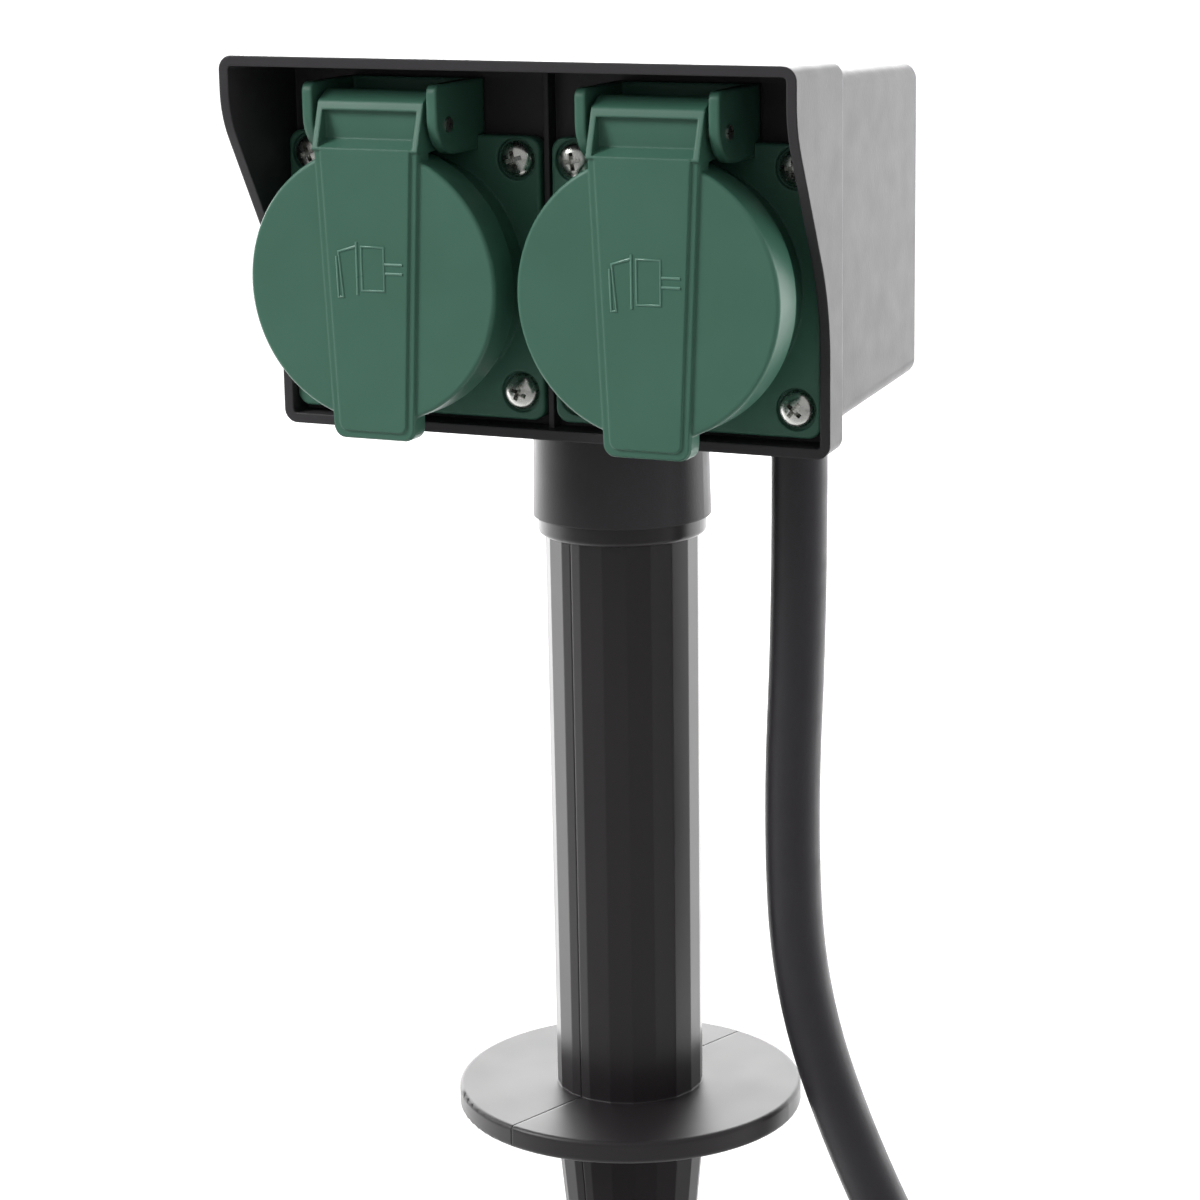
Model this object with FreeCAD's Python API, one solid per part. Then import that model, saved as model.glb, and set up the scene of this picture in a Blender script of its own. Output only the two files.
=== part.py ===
import FreeCAD, Part
import math
import os
from FreeCAD import Vector

# Twin garden socket on a ground spike, with its cable and plug, in millimetres.
# +Z is up, -Y is the front with the two sockets, +X is to the right.
# The origin lies on the post's axis, on the underside of the ground disc.

# Square socket flange and its screws
socket_height = 163.4
socket_pitch = 52.24
flange_side = 50.0
flange_thickness = 2.7
flange_corner = 2.5
flange_edge = 0.6
seal_thickness = 0.8
seal_inset = 0.7
screw_pitch = 41.0
screw_pattern_rise = 0.5
screw_head_radius = 3.2
screw_head_height = 2.2
screw_radius = 1.7
screw_length = 22.0
screw_slot_width = 0.8
screw_slot_length = 3.6
screw_slot_depth = 1.3
screw_recess = 0.5
screw_recess_depth = 0.9
screw_clearance = 0.3
screw_tip_room = 0.5
boss_wall = 1.7
low_boss_end = -5.3

# Housing, sizes from the centre of the sockets
flange_front = -30.0
lip_front = -48.2
joint_plane = -24.5
draft = 2.5
hood_rise = 39.4
hood_drop = 28.9
hood_corner = 2.5
hood_wall = 1.8
hood_side_room = 1.08
hood_half_width = socket_pitch / 2 + flange_side / 2 + hood_side_room + hood_wall
lip_height = 28.9
brow_radius = 17.6
skirt_front = -31.2
skirt_bend_height = -2.0
skirt_radius = 35.0
rib_thickness = 1.0
rib_set_back = 0.6
box_set_in = 1.7
box_half_width = hood_half_width - box_set_in
box_rise = 36.9
box_drop = 23.5
box_corner = 3.0
box_wall = 2.4
box_depth = 45.0
box_back_edge = 1.6
gasket_width = 1.0
gasket_depth = 1.0

# Neck under the housing and the ring below it
neck_drop = 47.2
neck_end = socket_height - neck_drop
neck_mouth_radius = 16.6
neck_root_radius = 16.0
neck_bore_rise = 0.6
neck_bore_top = socket_height - box_drop + neck_bore_rise
neck_clearance = 0.15
ring_height = 3.5
ring_radius = 15.7
ring_edge = 0.9
ring_clearance = 0.1

# Post, ground disc and spike
disc_radius = 33.0
disc_thickness = 4.3
disc_edge = 0.8
post_facets = 20
post_foot_radius = 14.0
post_top_radius = 14.5
post_wall = 2.3
post_cap = 8.0
spike_root_radius = 14.4
spike_root_length = 5.0
spike_length = 140.0
spike_tip_radius = 1.6
spike_wall = 3.0
spike_solid_tip = 45.0
seam_azimuth = -18.0
seam_gap = 0.12
web_thickness = 4.0
web_places = (0.12, 0.48, 0.84)
web_heights = [part * neck_end for part in web_places]
peg_radius = 1.3
peg_length = 4.0
peg_offset = 7.0
peg_clearance = 0.05

# Recess for the plug
recess_radius = 19.75
recess_depth = 17.5
mouth_step = 0.25
mouth_depth = 6.2
collar_radius = 21.7
collar_reach = 12.6
cup_radius = 21.0
cup_floor = 2.4
cup_clearance = 0.3
pin_pitch = 19.0
pin_radius = 2.4
pin_hole_radius = 2.7
guide_width = 4.8
guide_reach = 2.6
guide_set_back = 6.4
guide_rooting = 0.5

# Contacts and their carrier
carrier_radius = 14.5
carrier_depth = 17.7
sleeve_bore = 2.45
sleeve_wall = 0.8
sleeve_split = 0.8
terminal_width = 6.0
terminal_height = 6.6
terminal_depth = 15.0
terminal_sunk = 1.0
terminal_set_in = 0.4
terminal_bore_depth = 5.0
terminal_screw_radius = 1.3
wire_seat = 1.9
terminal_head_radius = 2.3
terminal_head_height = 1.8
terminal_screw_length = 5.0
contact_clearance = 0.1
earth_width = 6.0
earth_thickness = 0.8
earth_block_half = 4.0
earth_spring_z = 18.7
earth_spring_reach = 11.0
earth_spring_bulge = 1.9
carrier_screw_x = 8.0
carrier_screw_z = -9.0
carrier_screw_room = 0.2
carrier_screw_tip = 0.7

# Lid and hinge, sizes from the centre of the socket and the flange's front
lid_radius = 24.1
lid_front = 16.5
lid_plate = 2.2
lid_rim_wall = 1.5
lid_rim_back = 8.7
lid_edge = 0.7
lid_seal_radius = 22.3
lid_seal_hole = 18.0
lid_seal_thickness = 1.55
strap_proud = 0.9
strap_step = 0.4
strap_rim = 1.3
strap_draft = 0.25
strap_top_half = 10.3
strap_low_half = 8.0
strap_top = 24.0
strap_end = -27.0
strap_corner = 2.2
tab_thickness = 3.4
axis_y = 11.0
axis_z = 27.8
knuckle_radius = 6.0
knuckle_low = 23.0
knuckle_front_low = 17.4
knuckle_front_high = 14.6
knuckle_shoulder = 31.7
pocket_low = 23.6
pocket_shelf = 25.2
pocket_top = 30.2
pocket_back = 14.2
pocket_half = 9.2
hinge_pin_radius = 1.25
hinge_clearance = 0.05
spring_room_half = 7.4
spring_room_radius = 4.1
spring_room_rise = 4.6
spring_wall = 0.75
spring_turns = 6.5
spring_wire_radius = 0.35
spring_radius = 1.95
spring_pitch = 1.3
spring_leg_drop = 5.3
spring_leg_knee = 1.2
spring_leg_set_back = 3.6
spring_leg_bend = 0.9
ear_inner = 11.2
ear_thickness = 1.9
ear_front = 15.2
ear_low = 22.6
ear_high = 34.8
ear_nose = 6.5
ear_top_rounding = 1.6
hinge_block_thickness = 2.7
hinge_block_low = 20.0

# Cable, its entry and its route
cable_radius = 5.15
cable_set_in = 17.7
cable_x = box_half_width - cable_set_in
cable_y = 2.0
gland_drop = 32.4
gland_length = 20.2
gland_end = socket_height - gland_drop
gland_top = gland_end + gland_length
gland_sleeve_radius = 6.2
gland_tip_radius = 6.3
gland_root_radius = 8.2
gland_groove_radius = 7.6
gland_flange_radius = 9.4
gland_flange = 1.8
gland_sunk = 1.2
gland_clearance = 0.05
gland_floor_room = 0.4
cable_bared = 0.7
cable_inner_end = gland_top + cable_bared
cable_drop = 30.0
floor_level = -140.0
cord_points = (
    (cable_x, cable_y, gland_end),
    (cable_x, cable_y, gland_end - cable_drop),
    (32.6, 2.0, 60.0),
    (34.4, 2.0, 26.0),
    (45.6, 2.0, -5.0),
    (63.6, 2.0, -38.0),
    (75.0, 2.0, -78.0),
    (81.4, 11.6, -104.0),
    (86.0, 31.0, -123.8),
    (88.4, 57.0, -133.9),
    (88.4, 81.0, -133.9),
)

# Coil of the cable that is put away, and its tie
coil_outer_radius = 64.5
coil_turn_gap = 0.7
coil_spiral_turns = 1.5
coil_climb_turns = 0.5
coil_climb_inset = 1.6
coil_lead_out = 20.0
tie_thickness = 0.6
tie_width = 6.0
tie_clearance = 0.35
tie_azimuth = 90.0

# Plug
plug_face_radius = 18.5
plug_face_thickness = 5.0
plug_body_radius = 15.5
plug_neck_radius = 8.4
plug_tail = 16.0
plug_tail_rounding = 8.0
plug_length = 50.0
plug_pin_length = 19.0
plug_relief_length = 24.0
plug_relief_tip = 6.6
plug_groove_width = 5.6
plug_groove_depth = 2.8
plug_groove_reach = 14.0
plug_pin_root = 12.0
plug_pin_root_radius = 2.1
plug_pin_tip = 1.2
plug_strip_width = 5.6
plug_strip_thickness = 0.8
plug_strip_set_in = 0.6
plug_spigot_length = 3.0
plug_spigot_inset = 1.5

# Cord clamp inside the housing
clamp_half_width = 11.6
clamp_screw_offset = 8.4
clamp_front = -7.5
clamp_gap = 0.6
clamp_back = 10.4
clamp_height = 4.2
clamp_screw_radius = 1.4
clamp_head_radius = 2.6
clamp_head_height = 2.0
clamp_screw_length = 15.0

# Wires inside the housing
wire_radius = 1.4
wire_bend = 1.9
wire_hole_depth = 2.5
wire_hole_room = 0.1
wire_supply_y = 20.0
wire_line_link_y = 16.0
wire_neutral_link_y = 12.0
wire_earth_link_y = 23.2
wire_earth_level = socket_height + 16.05
wire_supply_level = socket_height + 23.6
wire_line_level = socket_height + 27.2
wire_neutral_level = socket_height + 31.0

# Screws that hold the post in the neck
post_screw_radius = 1.6
post_screw_offset = 6.5
post_screw_tip_room = 1.5
post_head_radius = 3.0
post_head_height = 2.0
post_pad_radius = 4.4
post_pad_height = 4.1
post_pad_top = neck_bore_top + post_pad_height

os.makedirs("parts", exist_ok=True)


def box(x0, x1, y0, y1, z0, z1):
    return Part.makeBox(x1 - x0, y1 - y0, z1 - z0, Vector(x0, y0, z0))


def rod(start, end, radius):
    start, end = Vector(*start), Vector(*end)
    return Part.makeCylinder(radius, (end - start).Length, start, end - start)


def cone(start, end, radius_start, radius_end):
    start, end = Vector(*start), Vector(*end)
    return Part.makeCone(radius_start, radius_end, (end - start).Length, start, end - start)


def rod_x(y, z, x0, x1, radius):
    return rod((x0, y, z), (x1, y, z), radius)


def rod_y(x, z, y0, y1, radius):
    return rod((x, y0, z), (x, y1, z), radius)


def rod_z(x, y, z0, z1, radius):
    return rod((x, y, z0), (x, y, z1), radius)


def join(shapes):
    first, rest = shapes[0], shapes[1:]
    return first.fuse(rest).removeSplitter() if rest else first


def rounded_wire(corners, place):
    """A closed outline of straight sides. Each corner is (a, b, radius), and place(a, b) puts it in space."""
    edges, joints = [], []
    for i, (a, b, radius) in enumerate(corners):
        here = Vector(a, b, 0)
        before = (Vector(*corners[i - 1][:2], 0) - here).normalize()
        after = (Vector(*corners[(i + 1) % len(corners)][:2], 0) - here).normalize()
        if radius == 0:
            joints.append((here, None, here))
            continue
        half = before.getAngle(after) / 2
        middle = (before + after).normalize() * (radius / math.sin(half) - radius)
        reach = radius / math.tan(half)
        joints.append((here + before * reach, here + middle, here + after * reach))
    put = [[p and place(p.x, p.y) for p in joint] for joint in joints]
    for i, (start, middle, end) in enumerate(put):
        if middle:
            edges.append(Part.Arc(start, middle, end).toShape())
        following = put[(i + 1) % len(put)][0]
        if (following - end).Length > 1e-6:
            edges.append(Part.LineSegment(end, following).toShape())
    return Part.Wire(edges)


def prism(corners, place, along):
    return Part.Face(rounded_wire(corners, place)).extrude(along)


def prism_x(corners, x0, x1):
    """Corners are (y, z, radius)."""
    return prism(corners, lambda y, z: Vector(x0, y, z), Vector(x1 - x0, 0, 0))


def prism_y(corners, y0, y1):
    """Corners are (x, z, radius)."""
    return prism(corners, lambda x, z: Vector(x, y0, z), Vector(0, y1 - y0, 0))


def plate_corners(half_width, low, high, radius):
    return [
        (-half_width, low, radius),
        (half_width, low, radius),
        (half_width, high, radius),
        (-half_width, high, radius),
    ]


def tapered_y(corners_front, y0, corners_back, y1):
    """A solid between two outlines with as many corners, one at y0 and one at y1."""
    wires = [
        rounded_wire(corners, lambda x, z, y=y: Vector(x, y, z))
        for corners, y in ((corners_front, y0), (corners_back, y1))
    ]
    return Part.makeLoft(wires, True, True)


def turned_y(corners):
    """A solid turned about the Y axis. Corners are (radius from the axis, y, rounding)."""
    face = Part.Face(rounded_wire(corners, lambda r, y: Vector(r, y, 0)))
    return face.revolve(Vector(0, 0, 0), Vector(0, 1, 0), 360)


def turned_z(corners):
    """A solid turned about the Z axis. Corners are (radius from the axis, z, rounding)."""
    face = Part.Face(rounded_wire(corners, lambda r, z: Vector(r, 0, z)))
    return face.revolve(Vector(0, 0, 0), Vector(0, 0, 1), 360)


def facet_wire(radius, z):
    """An outline with flats square to the X and Y axes."""
    step = 2 * math.pi / post_facets
    points = [
        Vector(radius * math.cos((i + 0.5) * step), radius * math.sin((i + 0.5) * step), z)
        for i in range(post_facets)
    ]
    return Part.makePolygon(points + points[:1])


def facet_post(sections):
    """A faceted solid through sections of (z, radius)."""
    return Part.makeLoft([facet_wire(radius, z) for z, radius in sections], True, True)


def at_socket(shape, x):
    moved = shape.copy()
    moved.translate(Vector(x, flange_front, socket_height))
    return moved


def screw(head_radius, head_height, shank_radius, length):
    """A pan-head screw along +Y: the head's underside at y = 0, the shank towards +y."""
    head = turned_y([
        (0, -head_height, 0),
        (head_radius, -head_height, head_height * 0.75),
        (head_radius, 0, 0),
        (0, 0, 0),
    ])
    tip = length - shank_radius
    shank = join([rod_y(0, 0, 0, tip, shank_radius), cone((0, tip, 0), (0, length, 0), shank_radius, 0.3)])
    slot_depth = min(screw_slot_depth, 0.6 * head_height)
    slot_length = min(screw_slot_length, 1.2 * head_radius)
    cut = []
    for half_x, half_z in ((slot_length / 2, screw_slot_width / 2), (screw_slot_width / 2, slot_length / 2)):
        cut.append(box(-half_x, half_x, -head_height, -head_height + slot_depth, -half_z, half_z))
    return join([head, shank]).cut(cut)


def tangent_path(points):
    """Straight runs joined by tangent arcs, and the arcs' radii."""
    points = [Vector(*p) for p in points]
    edges, radii, start = [], [], points[0]
    for before, here, after in zip(points, points[1:], points[2:]):
        back, on = here - before, after - here
        shorter, turn = min(back.Length, on.Length), back.getAngle(on)
        reach = 0.45 * shorter
        radius = reach / math.tan(turn / 2)
        back.normalize()
        on.normalize()
        first, last = here - back * reach, here + on * reach
        middle = here + (on - back).normalize() * (radius / math.cos(turn / 2) - radius)
        edges += [Part.LineSegment(start, first).toShape(), Part.Arc(first, middle, last).toShape()]
        radii.append(radius)
        start = last
    edges.append(Part.LineSegment(start, points[-1]).toShape())
    return edges, radii


def bent_wire(points, radius, bend):
    """A round wire with corners of one bend radius."""
    return pipe(bent_edges([Vector(*p) for p in points], bend), radius)


def bent_edges(points, bend):
    edges, start = [], points[0]
    for before, here, after in zip(points, points[1:], points[2:]):
        back, on = (here - before).normalize(), (after - here).normalize()
        turn = back.getAngle(on)
        reach = bend * math.tan(turn / 2)
        first, last = here - back * reach, here + on * reach
        middle = here + (on - back).normalize() * (bend / math.cos(turn / 2) - bend)
        edges += [Part.LineSegment(start, first).toShape(), Part.Arc(first, middle, last).toShape()]
        start = last
    edges.append(Part.LineSegment(start, points[-1]).toShape())
    return edges


def pipe(edges, radius):
    path = Part.Wire(edges)
    start = path.Edges[0].valueAt(path.Edges[0].FirstParameter)
    direction = path.Edges[0].tangentAt(path.Edges[0].FirstParameter)
    profile = Part.Wire(Part.Circle(start, direction, radius).toShape())
    return path.makePipeShell([profile], True, False)


def arc_from(start, direction, end):
    """The arc that leaves start along direction and reaches end."""
    chord = end - start
    angle = direction.getAngle(chord)
    if angle < 1e-6:
        return Part.LineSegment(start, end).toShape()
    unit = Vector(chord).normalize()
    side = (direction - unit * direction.dot(unit)).normalize()
    middle = start + chord * 0.5 + side * (chord.Length / 2 * math.tan(angle / 2))
    return Part.Arc(start, middle, end).toShape()


def biarcs(points, tangents):
    """Pairs of tangent arcs through points, along given directions."""
    edges = []
    for i in range(len(points) - 1):
        a, b, t, u = points[i], points[i + 1], tangents[i], tangents[i + 1]
        gap, both = b - a, t + u
        square = 2 * (1 - t.dot(u))
        if square < 1e-9:
            reach = gap.dot(gap) / (4 * gap.dot(u))
        else:
            along = gap.dot(both)
            reach = (math.sqrt(along * along + square * gap.dot(gap)) - along) / square
        joint = (a + b + (t - u) * reach) * 0.5
        edges.append(arc_from(a, t, joint))
        turned = ((joint - a).normalize() * (2 * t.dot((joint - a).normalize())) - t).normalize()
        edges.append(arc_from(joint, turned, b))
    return edges


def save(name, shapes):
    shapes = shapes if isinstance(shapes, list) else [shapes]
    solids = [solid for shape in shapes for solid in shape.Solids]
    whole = solids[0] if len(solids) == 1 else Part.makeCompound(solids)
    if not whole.isValid():
        print("not valid:", name)
    whole.exportStep("parts/" + name + ".step")
    print(f"{name}: {len(solids)} solid(s), {whole.Volume:.0f} mm3")


# Values that follow from the sizes above
slope = math.tan(math.radians(draft))
socket_xs = {"left": -socket_pitch / 2, "right": socket_pitch / 2}
panel_front = flange_front + flange_thickness + seal_thickness
panel_back = joint_plane
box_back = joint_plane + box_depth
half_flange = flange_side / 2
screw_places = [
    (side * screw_pitch / 2, level * screw_pitch / 2 + screw_pattern_rise)
    for side in (-1, 1)
    for level in (-1, 1)
]
recess_floor = recess_depth - collar_reach
carrier_front = recess_floor + cup_floor
carrier_back = carrier_front + carrier_depth
sleeve_radius = sleeve_bore + sleeve_wall
terminal_low = sleeve_radius - terminal_sunk
terminal_high = terminal_low + terminal_height
terminal_back = carrier_back - terminal_set_in
coil_step = 2 * cable_radius + coil_turn_gap
lie_height = floor_level + tie_thickness + tie_clearance + cable_radius
seam = math.radians(seam_azimuth)
seam_along = Vector(math.sin(seam), -math.cos(seam), 0)
seam_across = Vector(math.cos(seam), math.sin(seam), 0)


def hood_corners(y, inset):
    """The hood's section at y, drawn in by inset."""
    shrink = (y - lip_front) * slope + inset
    return plate_corners(
        hood_half_width - shrink,
        socket_height - hood_drop + shrink,
        socket_height + hood_rise - shrink,
        max(hood_corner - inset, 0.5),
    )


def box_corners(y, inset):
    """The rear box's section at y, drawn in by inset."""
    shrink = (y - joint_plane) * slope + inset
    return plate_corners(
        box_half_width - shrink,
        socket_height - box_drop + shrink,
        socket_height + box_rise - shrink,
        max(box_corner - inset, 0.6),
    )


def floor_top(y):
    """The height of the rear box's inner floor at y."""
    return socket_height - box_drop + (y - joint_plane) * slope + box_wall


def flange_screw_holes(radius, y0, y1):
    return [
        rod_y(x + dx, socket_height + dz, y0, y1, radius)
        for x in socket_xs.values()
        for dx, dz in screw_places
    ]


def hood_frame():
    outer = tapered_y(hood_corners(lip_front, 0), lip_front, hood_corners(joint_plane, 0), joint_plane)
    side = prism_x(
        [
            (lip_front, socket_height + hood_rise + 1, 0),
            (lip_front, socket_height + lip_height, brow_radius),
            (skirt_front, socket_height + skirt_bend_height, skirt_radius),
            (skirt_front, socket_height - hood_drop - 1, 0),
            (joint_plane, socket_height - hood_drop - 1, 0),
            (joint_plane, socket_height + hood_rise + 1, 0),
        ],
        -hood_half_width - 1,
        hood_half_width + 1,
    )
    hollow_front = hood_corners(lip_front - 1, hood_wall)
    hollow_back = hood_corners(panel_front, hood_wall)
    hollow = tapered_y(hollow_front, lip_front - 1, hollow_back, panel_front)
    frame = outer.common(side).cut(hollow)
    rib_front = flange_front + rib_set_back
    rib = box(
        -rib_thickness / 2,
        rib_thickness / 2,
        rib_front,
        panel_front + 0.5,
        socket_height - hood_drop + hood_wall / 2,
        socket_height + hood_rise - hood_wall,
    )
    cuts = [
        rod_y(x, socket_height, panel_front - 1, panel_back + 1, cup_radius + cup_clearance)
        for x in socket_xs.values()
    ]
    cuts += flange_screw_holes(screw_radius + screw_clearance, panel_front - 1, panel_back + 1)
    return join([frame, rib]).cut(cuts)


def rear_box():
    outer = tapered_y(box_corners(joint_plane, 0), joint_plane, box_corners(box_back, 0), box_back)
    back_edges = [
        edge for edge in outer.Edges if all(abs(v.Point.y - box_back) < 1e-6 for v in edge.Vertexes)
    ]
    outer = outer.makeFillet(box_back_edge, back_edges)
    inner_back = box_back - box_wall
    hollow = tapered_y(
        box_corners(joint_plane - 1, box_wall), joint_plane - 1, box_corners(inner_back, box_wall), inner_back
    )
    neck = cone((0, 0, neck_end), (0, 0, floor_top(0) - 1), neck_mouth_radius, neck_root_radius)
    shell = join([outer, neck]).cut([hollow, rod_z(0, 0, neck_end - 1, neck_bore_top, post_bore_radius())])
    boss_radius = screw_radius + boss_wall
    additions = []
    for x in socket_xs.values():
        for dx, dz in screw_places:
            boss_end = low_boss_end if dz < 0 else inner_back + 0.5
            additions.append(rod_y(x + dx, socket_height + dz, joint_plane, boss_end, boss_radius))
    for x in (-1, 1):
        pad = seam_across * (x * post_screw_offset)
        additions.append(rod_z(pad.x, pad.y, neck_bore_top, post_pad_top, post_pad_radius))
    clamp_low = floor_top(clamp_front) - 1
    additions.append(box(
        cable_x - clamp_half_width,
        cable_x + clamp_half_width,
        clamp_front,
        cable_y - clamp_gap / 2,
        clamp_low,
        clamp_top(),
    ))
    inside = tapered_y(
        box_corners(joint_plane, 0.5), joint_plane, box_corners(box_back - 0.5, 0.5), box_back - 0.5
    )
    additions = [shape.common(inside) for shape in additions]
    cuts = [
        rod_y(x + dx, socket_height + dz, joint_plane - 1, screw_tip() + screw_tip_room, screw_radius)
        for x in socket_xs.values()
        for dx, dz in screw_places
    ]
    for x in (-1, 1):
        place = seam_across * (x * post_screw_offset)
        hole_radius = post_screw_radius + screw_clearance
        cuts.append(rod_z(place.x, place.y, neck_bore_top - 1, post_pad_top + 1, hole_radius))
        clamp_x = cable_x + x * clamp_screw_offset
        cuts.append(rod_y(clamp_x, clamp_middle(), clamp_front + 1.5, cable_y, clamp_screw_radius))
    gland_seat = floor_top(cable_y) - gland_sunk
    cuts.append(rod_z(cable_x, cable_y, clamp_low - 6, gland_seat + 0.5, gland_groove_radius))
    gland_room = gland_flange + 0.1
    cuts.append(rod_z(cable_x, cable_y, gland_seat, gland_seat + gland_room, gland_flange_radius + 0.2))
    cuts.append(rod_z(cable_x, cable_y, gland_seat, clamp_top() + 1, gland_sleeve_radius))
    body = join([shell] + additions).cut(cuts)
    return body.cut(gasket_ring(gasket_depth))


def screw_tip():
    return flange_front + screw_recess_depth + screw_length


def post_bore_radius():
    return post_top_radius + neck_clearance


def gasket_ring(depth):
    """The seal's groove in the rear box's front rim."""
    inset = (box_wall - gasket_width) / 2
    back = joint_plane + depth
    rings = [
        tapered_y(box_corners(joint_plane, away), joint_plane, box_corners(back, away), back)
        for away in (inset, inset + gasket_width)
    ]
    return rings[0].cut(rings[1])


def clamp_top():
    return socket_height - carrier_radius - 0.3


def clamp_middle():
    return clamp_top() - clamp_height / 2


def cord_clamp():
    bar = box(
        cable_x - clamp_half_width,
        cable_x + clamp_half_width,
        cable_y + clamp_gap / 2,
        clamp_back,
        clamp_top() - clamp_height,
        clamp_top(),
    )
    low, high = clamp_top() - clamp_height - 1, clamp_top() + 1
    hole_radius = clamp_screw_radius + screw_clearance
    cuts = [rod_z(cable_x, cable_y, low, high, gland_sleeve_radius)]
    for side in (-1, 1):
        x = cable_x + side * clamp_screw_offset
        cuts.append(rod_y(x, clamp_middle(), cable_y - 1, clamp_back + 1, hole_radius))
    return bar.cut(cuts)


def clamp_screws():
    made = screw(clamp_head_radius, clamp_head_height, clamp_screw_radius, clamp_screw_length)
    made.rotate(Vector(0, 0, 0), Vector(0, 0, 1), 180)
    placed = []
    for side in (-1, 1):
        one = made.copy()
        one.translate(Vector(cable_x + side * clamp_screw_offset, clamp_back, clamp_middle()))
        placed.append(one)
    return placed


def flange_plate():
    """The socket's square flange, with a rounded front edge."""
    plate = prism_y(plate_corners(half_flange, -half_flange, half_flange, flange_corner), 0, flange_thickness)
    edge = min(flange_edge, flange_thickness / 3)
    front = [e for e in plate.Edges if all(abs(v.Point.y) < 1e-6 for v in e.Vertexes)]
    return plate.makeFillet(edge, front)


def socket_body():
    mouth_end = -collar_reach + mouth_depth
    mouth_radius = recess_radius + mouth_step
    collar = turned_y([
        (mouth_radius, -collar_reach, 0),
        (collar_radius, -collar_reach, 0.5),
        (collar_radius, flange_thickness / 2, 0),
        (recess_radius, flange_thickness / 2, 0),
        (recess_radius, mouth_end, 0),
        (mouth_radius, mouth_end, 0),
    ])
    cup = turned_y([
        (0, recess_floor, 0),
        (recess_radius, recess_floor, 0),
        (recess_radius, flange_thickness / 2, 0),
        (cup_radius, flange_thickness / 2, 0),
        (cup_radius, carrier_front, 0.8),
        (0, carrier_front, 0),
    ])
    body = join([flange_plate(), collar, cup]).cut([
        rod_y(0, 0, mouth_end - 1, recess_floor, recess_radius),
        rod_y(0, 0, -collar_reach - 1, mouth_end, mouth_radius),
    ])
    guides = []
    for side in (-1, 1):
        inner, outer = sorted((side * (recess_radius - guide_reach), side * (recess_radius + guide_rooting)))
        guides.append(box(
            inner,
            outer,
            -collar_reach + guide_set_back,
            recess_floor + guide_rooting,
            -guide_width / 2,
            guide_width / 2,
        ))
    body = join([body] + guides)
    cuts = []
    for dx, dz in screw_places:
        cuts.append(rod_y(dx, dz, -1, screw_recess_depth, screw_head_radius + screw_recess))
        cuts.append(rod_y(dx, dz, -1, flange_thickness + 1, screw_radius + screw_clearance))
    for side in (-1, 1):
        cuts.append(rod_y(side * pin_pitch / 2, 0, recess_floor - 1, carrier_front + 1, pin_hole_radius))
        slot_edges = (side * (earth_spring_z - 0.5), side * (earth_spring_z + earth_thickness + 0.2))
        slot_low, slot_high = sorted(slot_edges)
        half = earth_width / 2 + contact_clearance
        cuts.append(box(-half, half, recess_floor - 0.5, carrier_front + 1, slot_low, slot_high))
        cuts.append(rod_y(side * carrier_screw_x, carrier_screw_z, recess_floor + 0.6, carrier_front + 1,
                          terminal_screw_radius))
    return body.cut(cuts)


def hinge_bracket():
    """The two ears for the hinge pin, and the block that carries them on the flange's top edge."""
    ear_outer = ear_inner + ear_thickness
    block = box(-ear_outer, ear_outer, 0, hinge_block_thickness, hinge_block_low, ear_high)
    ears = []
    for side in (-1, 1):
        x0, x1 = sorted((side * ear_inner, side * ear_outer))
        ears.append(prism_x(
            [
                (hinge_block_thickness, ear_low, 0),
                (-ear_front, ear_low, ear_nose),
                (-ear_front, ear_high, ear_top_rounding),
                (hinge_block_thickness, ear_high, 0),
            ],
            x0,
            x1,
        ))
    bore = rod_x(-axis_y, axis_z, -ear_outer - 1, ear_outer + 1, hinge_pin_radius + hinge_clearance / 2)
    return join([block] + ears).cut([flange_plate(), bore])


def flange_seal():
    half = half_flange - seal_inset
    outline = plate_corners(half, -half, half, flange_corner)
    plate = prism_y(outline, flange_thickness, flange_thickness + seal_thickness)
    cuts = [rod_y(0, 0, 0, 5, cup_radius + cup_clearance)]
    cuts += [rod_y(dx, dz, 0, 5, screw_radius + screw_clearance) for dx, dz in screw_places]
    return plate.cut(cuts)


def flange_screws():
    made = screw(screw_head_radius, screw_head_height, screw_radius, screw_length)
    made.translate(Vector(0, screw_recess_depth, 0))
    placed = []
    for x in socket_xs.values():
        for dx, dz in screw_places:
            one = made.copy()
            one.translate(Vector(dx, 0, dz))
            placed.append(at_socket(one, x))
    return placed


def terminal_corners(grow):
    half = terminal_width / 2 + grow
    return half, terminal_low - grow, terminal_high + grow


def pin_contact(grow, solid):
    """A split sleeve with its terminal block, at x = 0, or the room for one."""
    front, back = carrier_front + terminal_set_in - 2 * grow, terminal_back + 5 * grow
    half, low, high = terminal_corners(grow)
    block_front = terminal_back - terminal_depth
    block = box(-half, half, block_front - grow, back, low, high)
    body = join([rod_y(0, 0, front, back, sleeve_radius + grow), block])
    if not solid:
        cuts = [rod_y(0, 0, front - 1, back - 1, sleeve_bore)]
        cuts.append(box(-sleeve_split / 2, sleeve_split / 2, front - 1, block_front - 0.5, -5, 0))
        body = body.cut(cuts)
    return body


def block_middle():
    return terminal_low + terminal_height / 2


def placed_contact(side, solid, grow):
    shape = pin_contact(grow, solid)
    shape.translate(Vector(side * pin_pitch / 2, 0, 0))
    if solid:
        return shape
    x = side * pin_pitch / 2
    link_y = wire_line_link_y if side < 0 else wire_neutral_link_y
    bore_front = terminal_back - terminal_bore_depth
    cuts = [rod_y(x, block_middle(), bore_front, terminal_back + 1, terminal_screw_radius)]
    wire_low = terminal_high - wire_hole_depth
    cuts += [rod_z(x, y, wire_low, terminal_high + 1, wire_radius) for y in (wire_supply_y, link_y)]
    return shape.cut(cuts)


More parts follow.
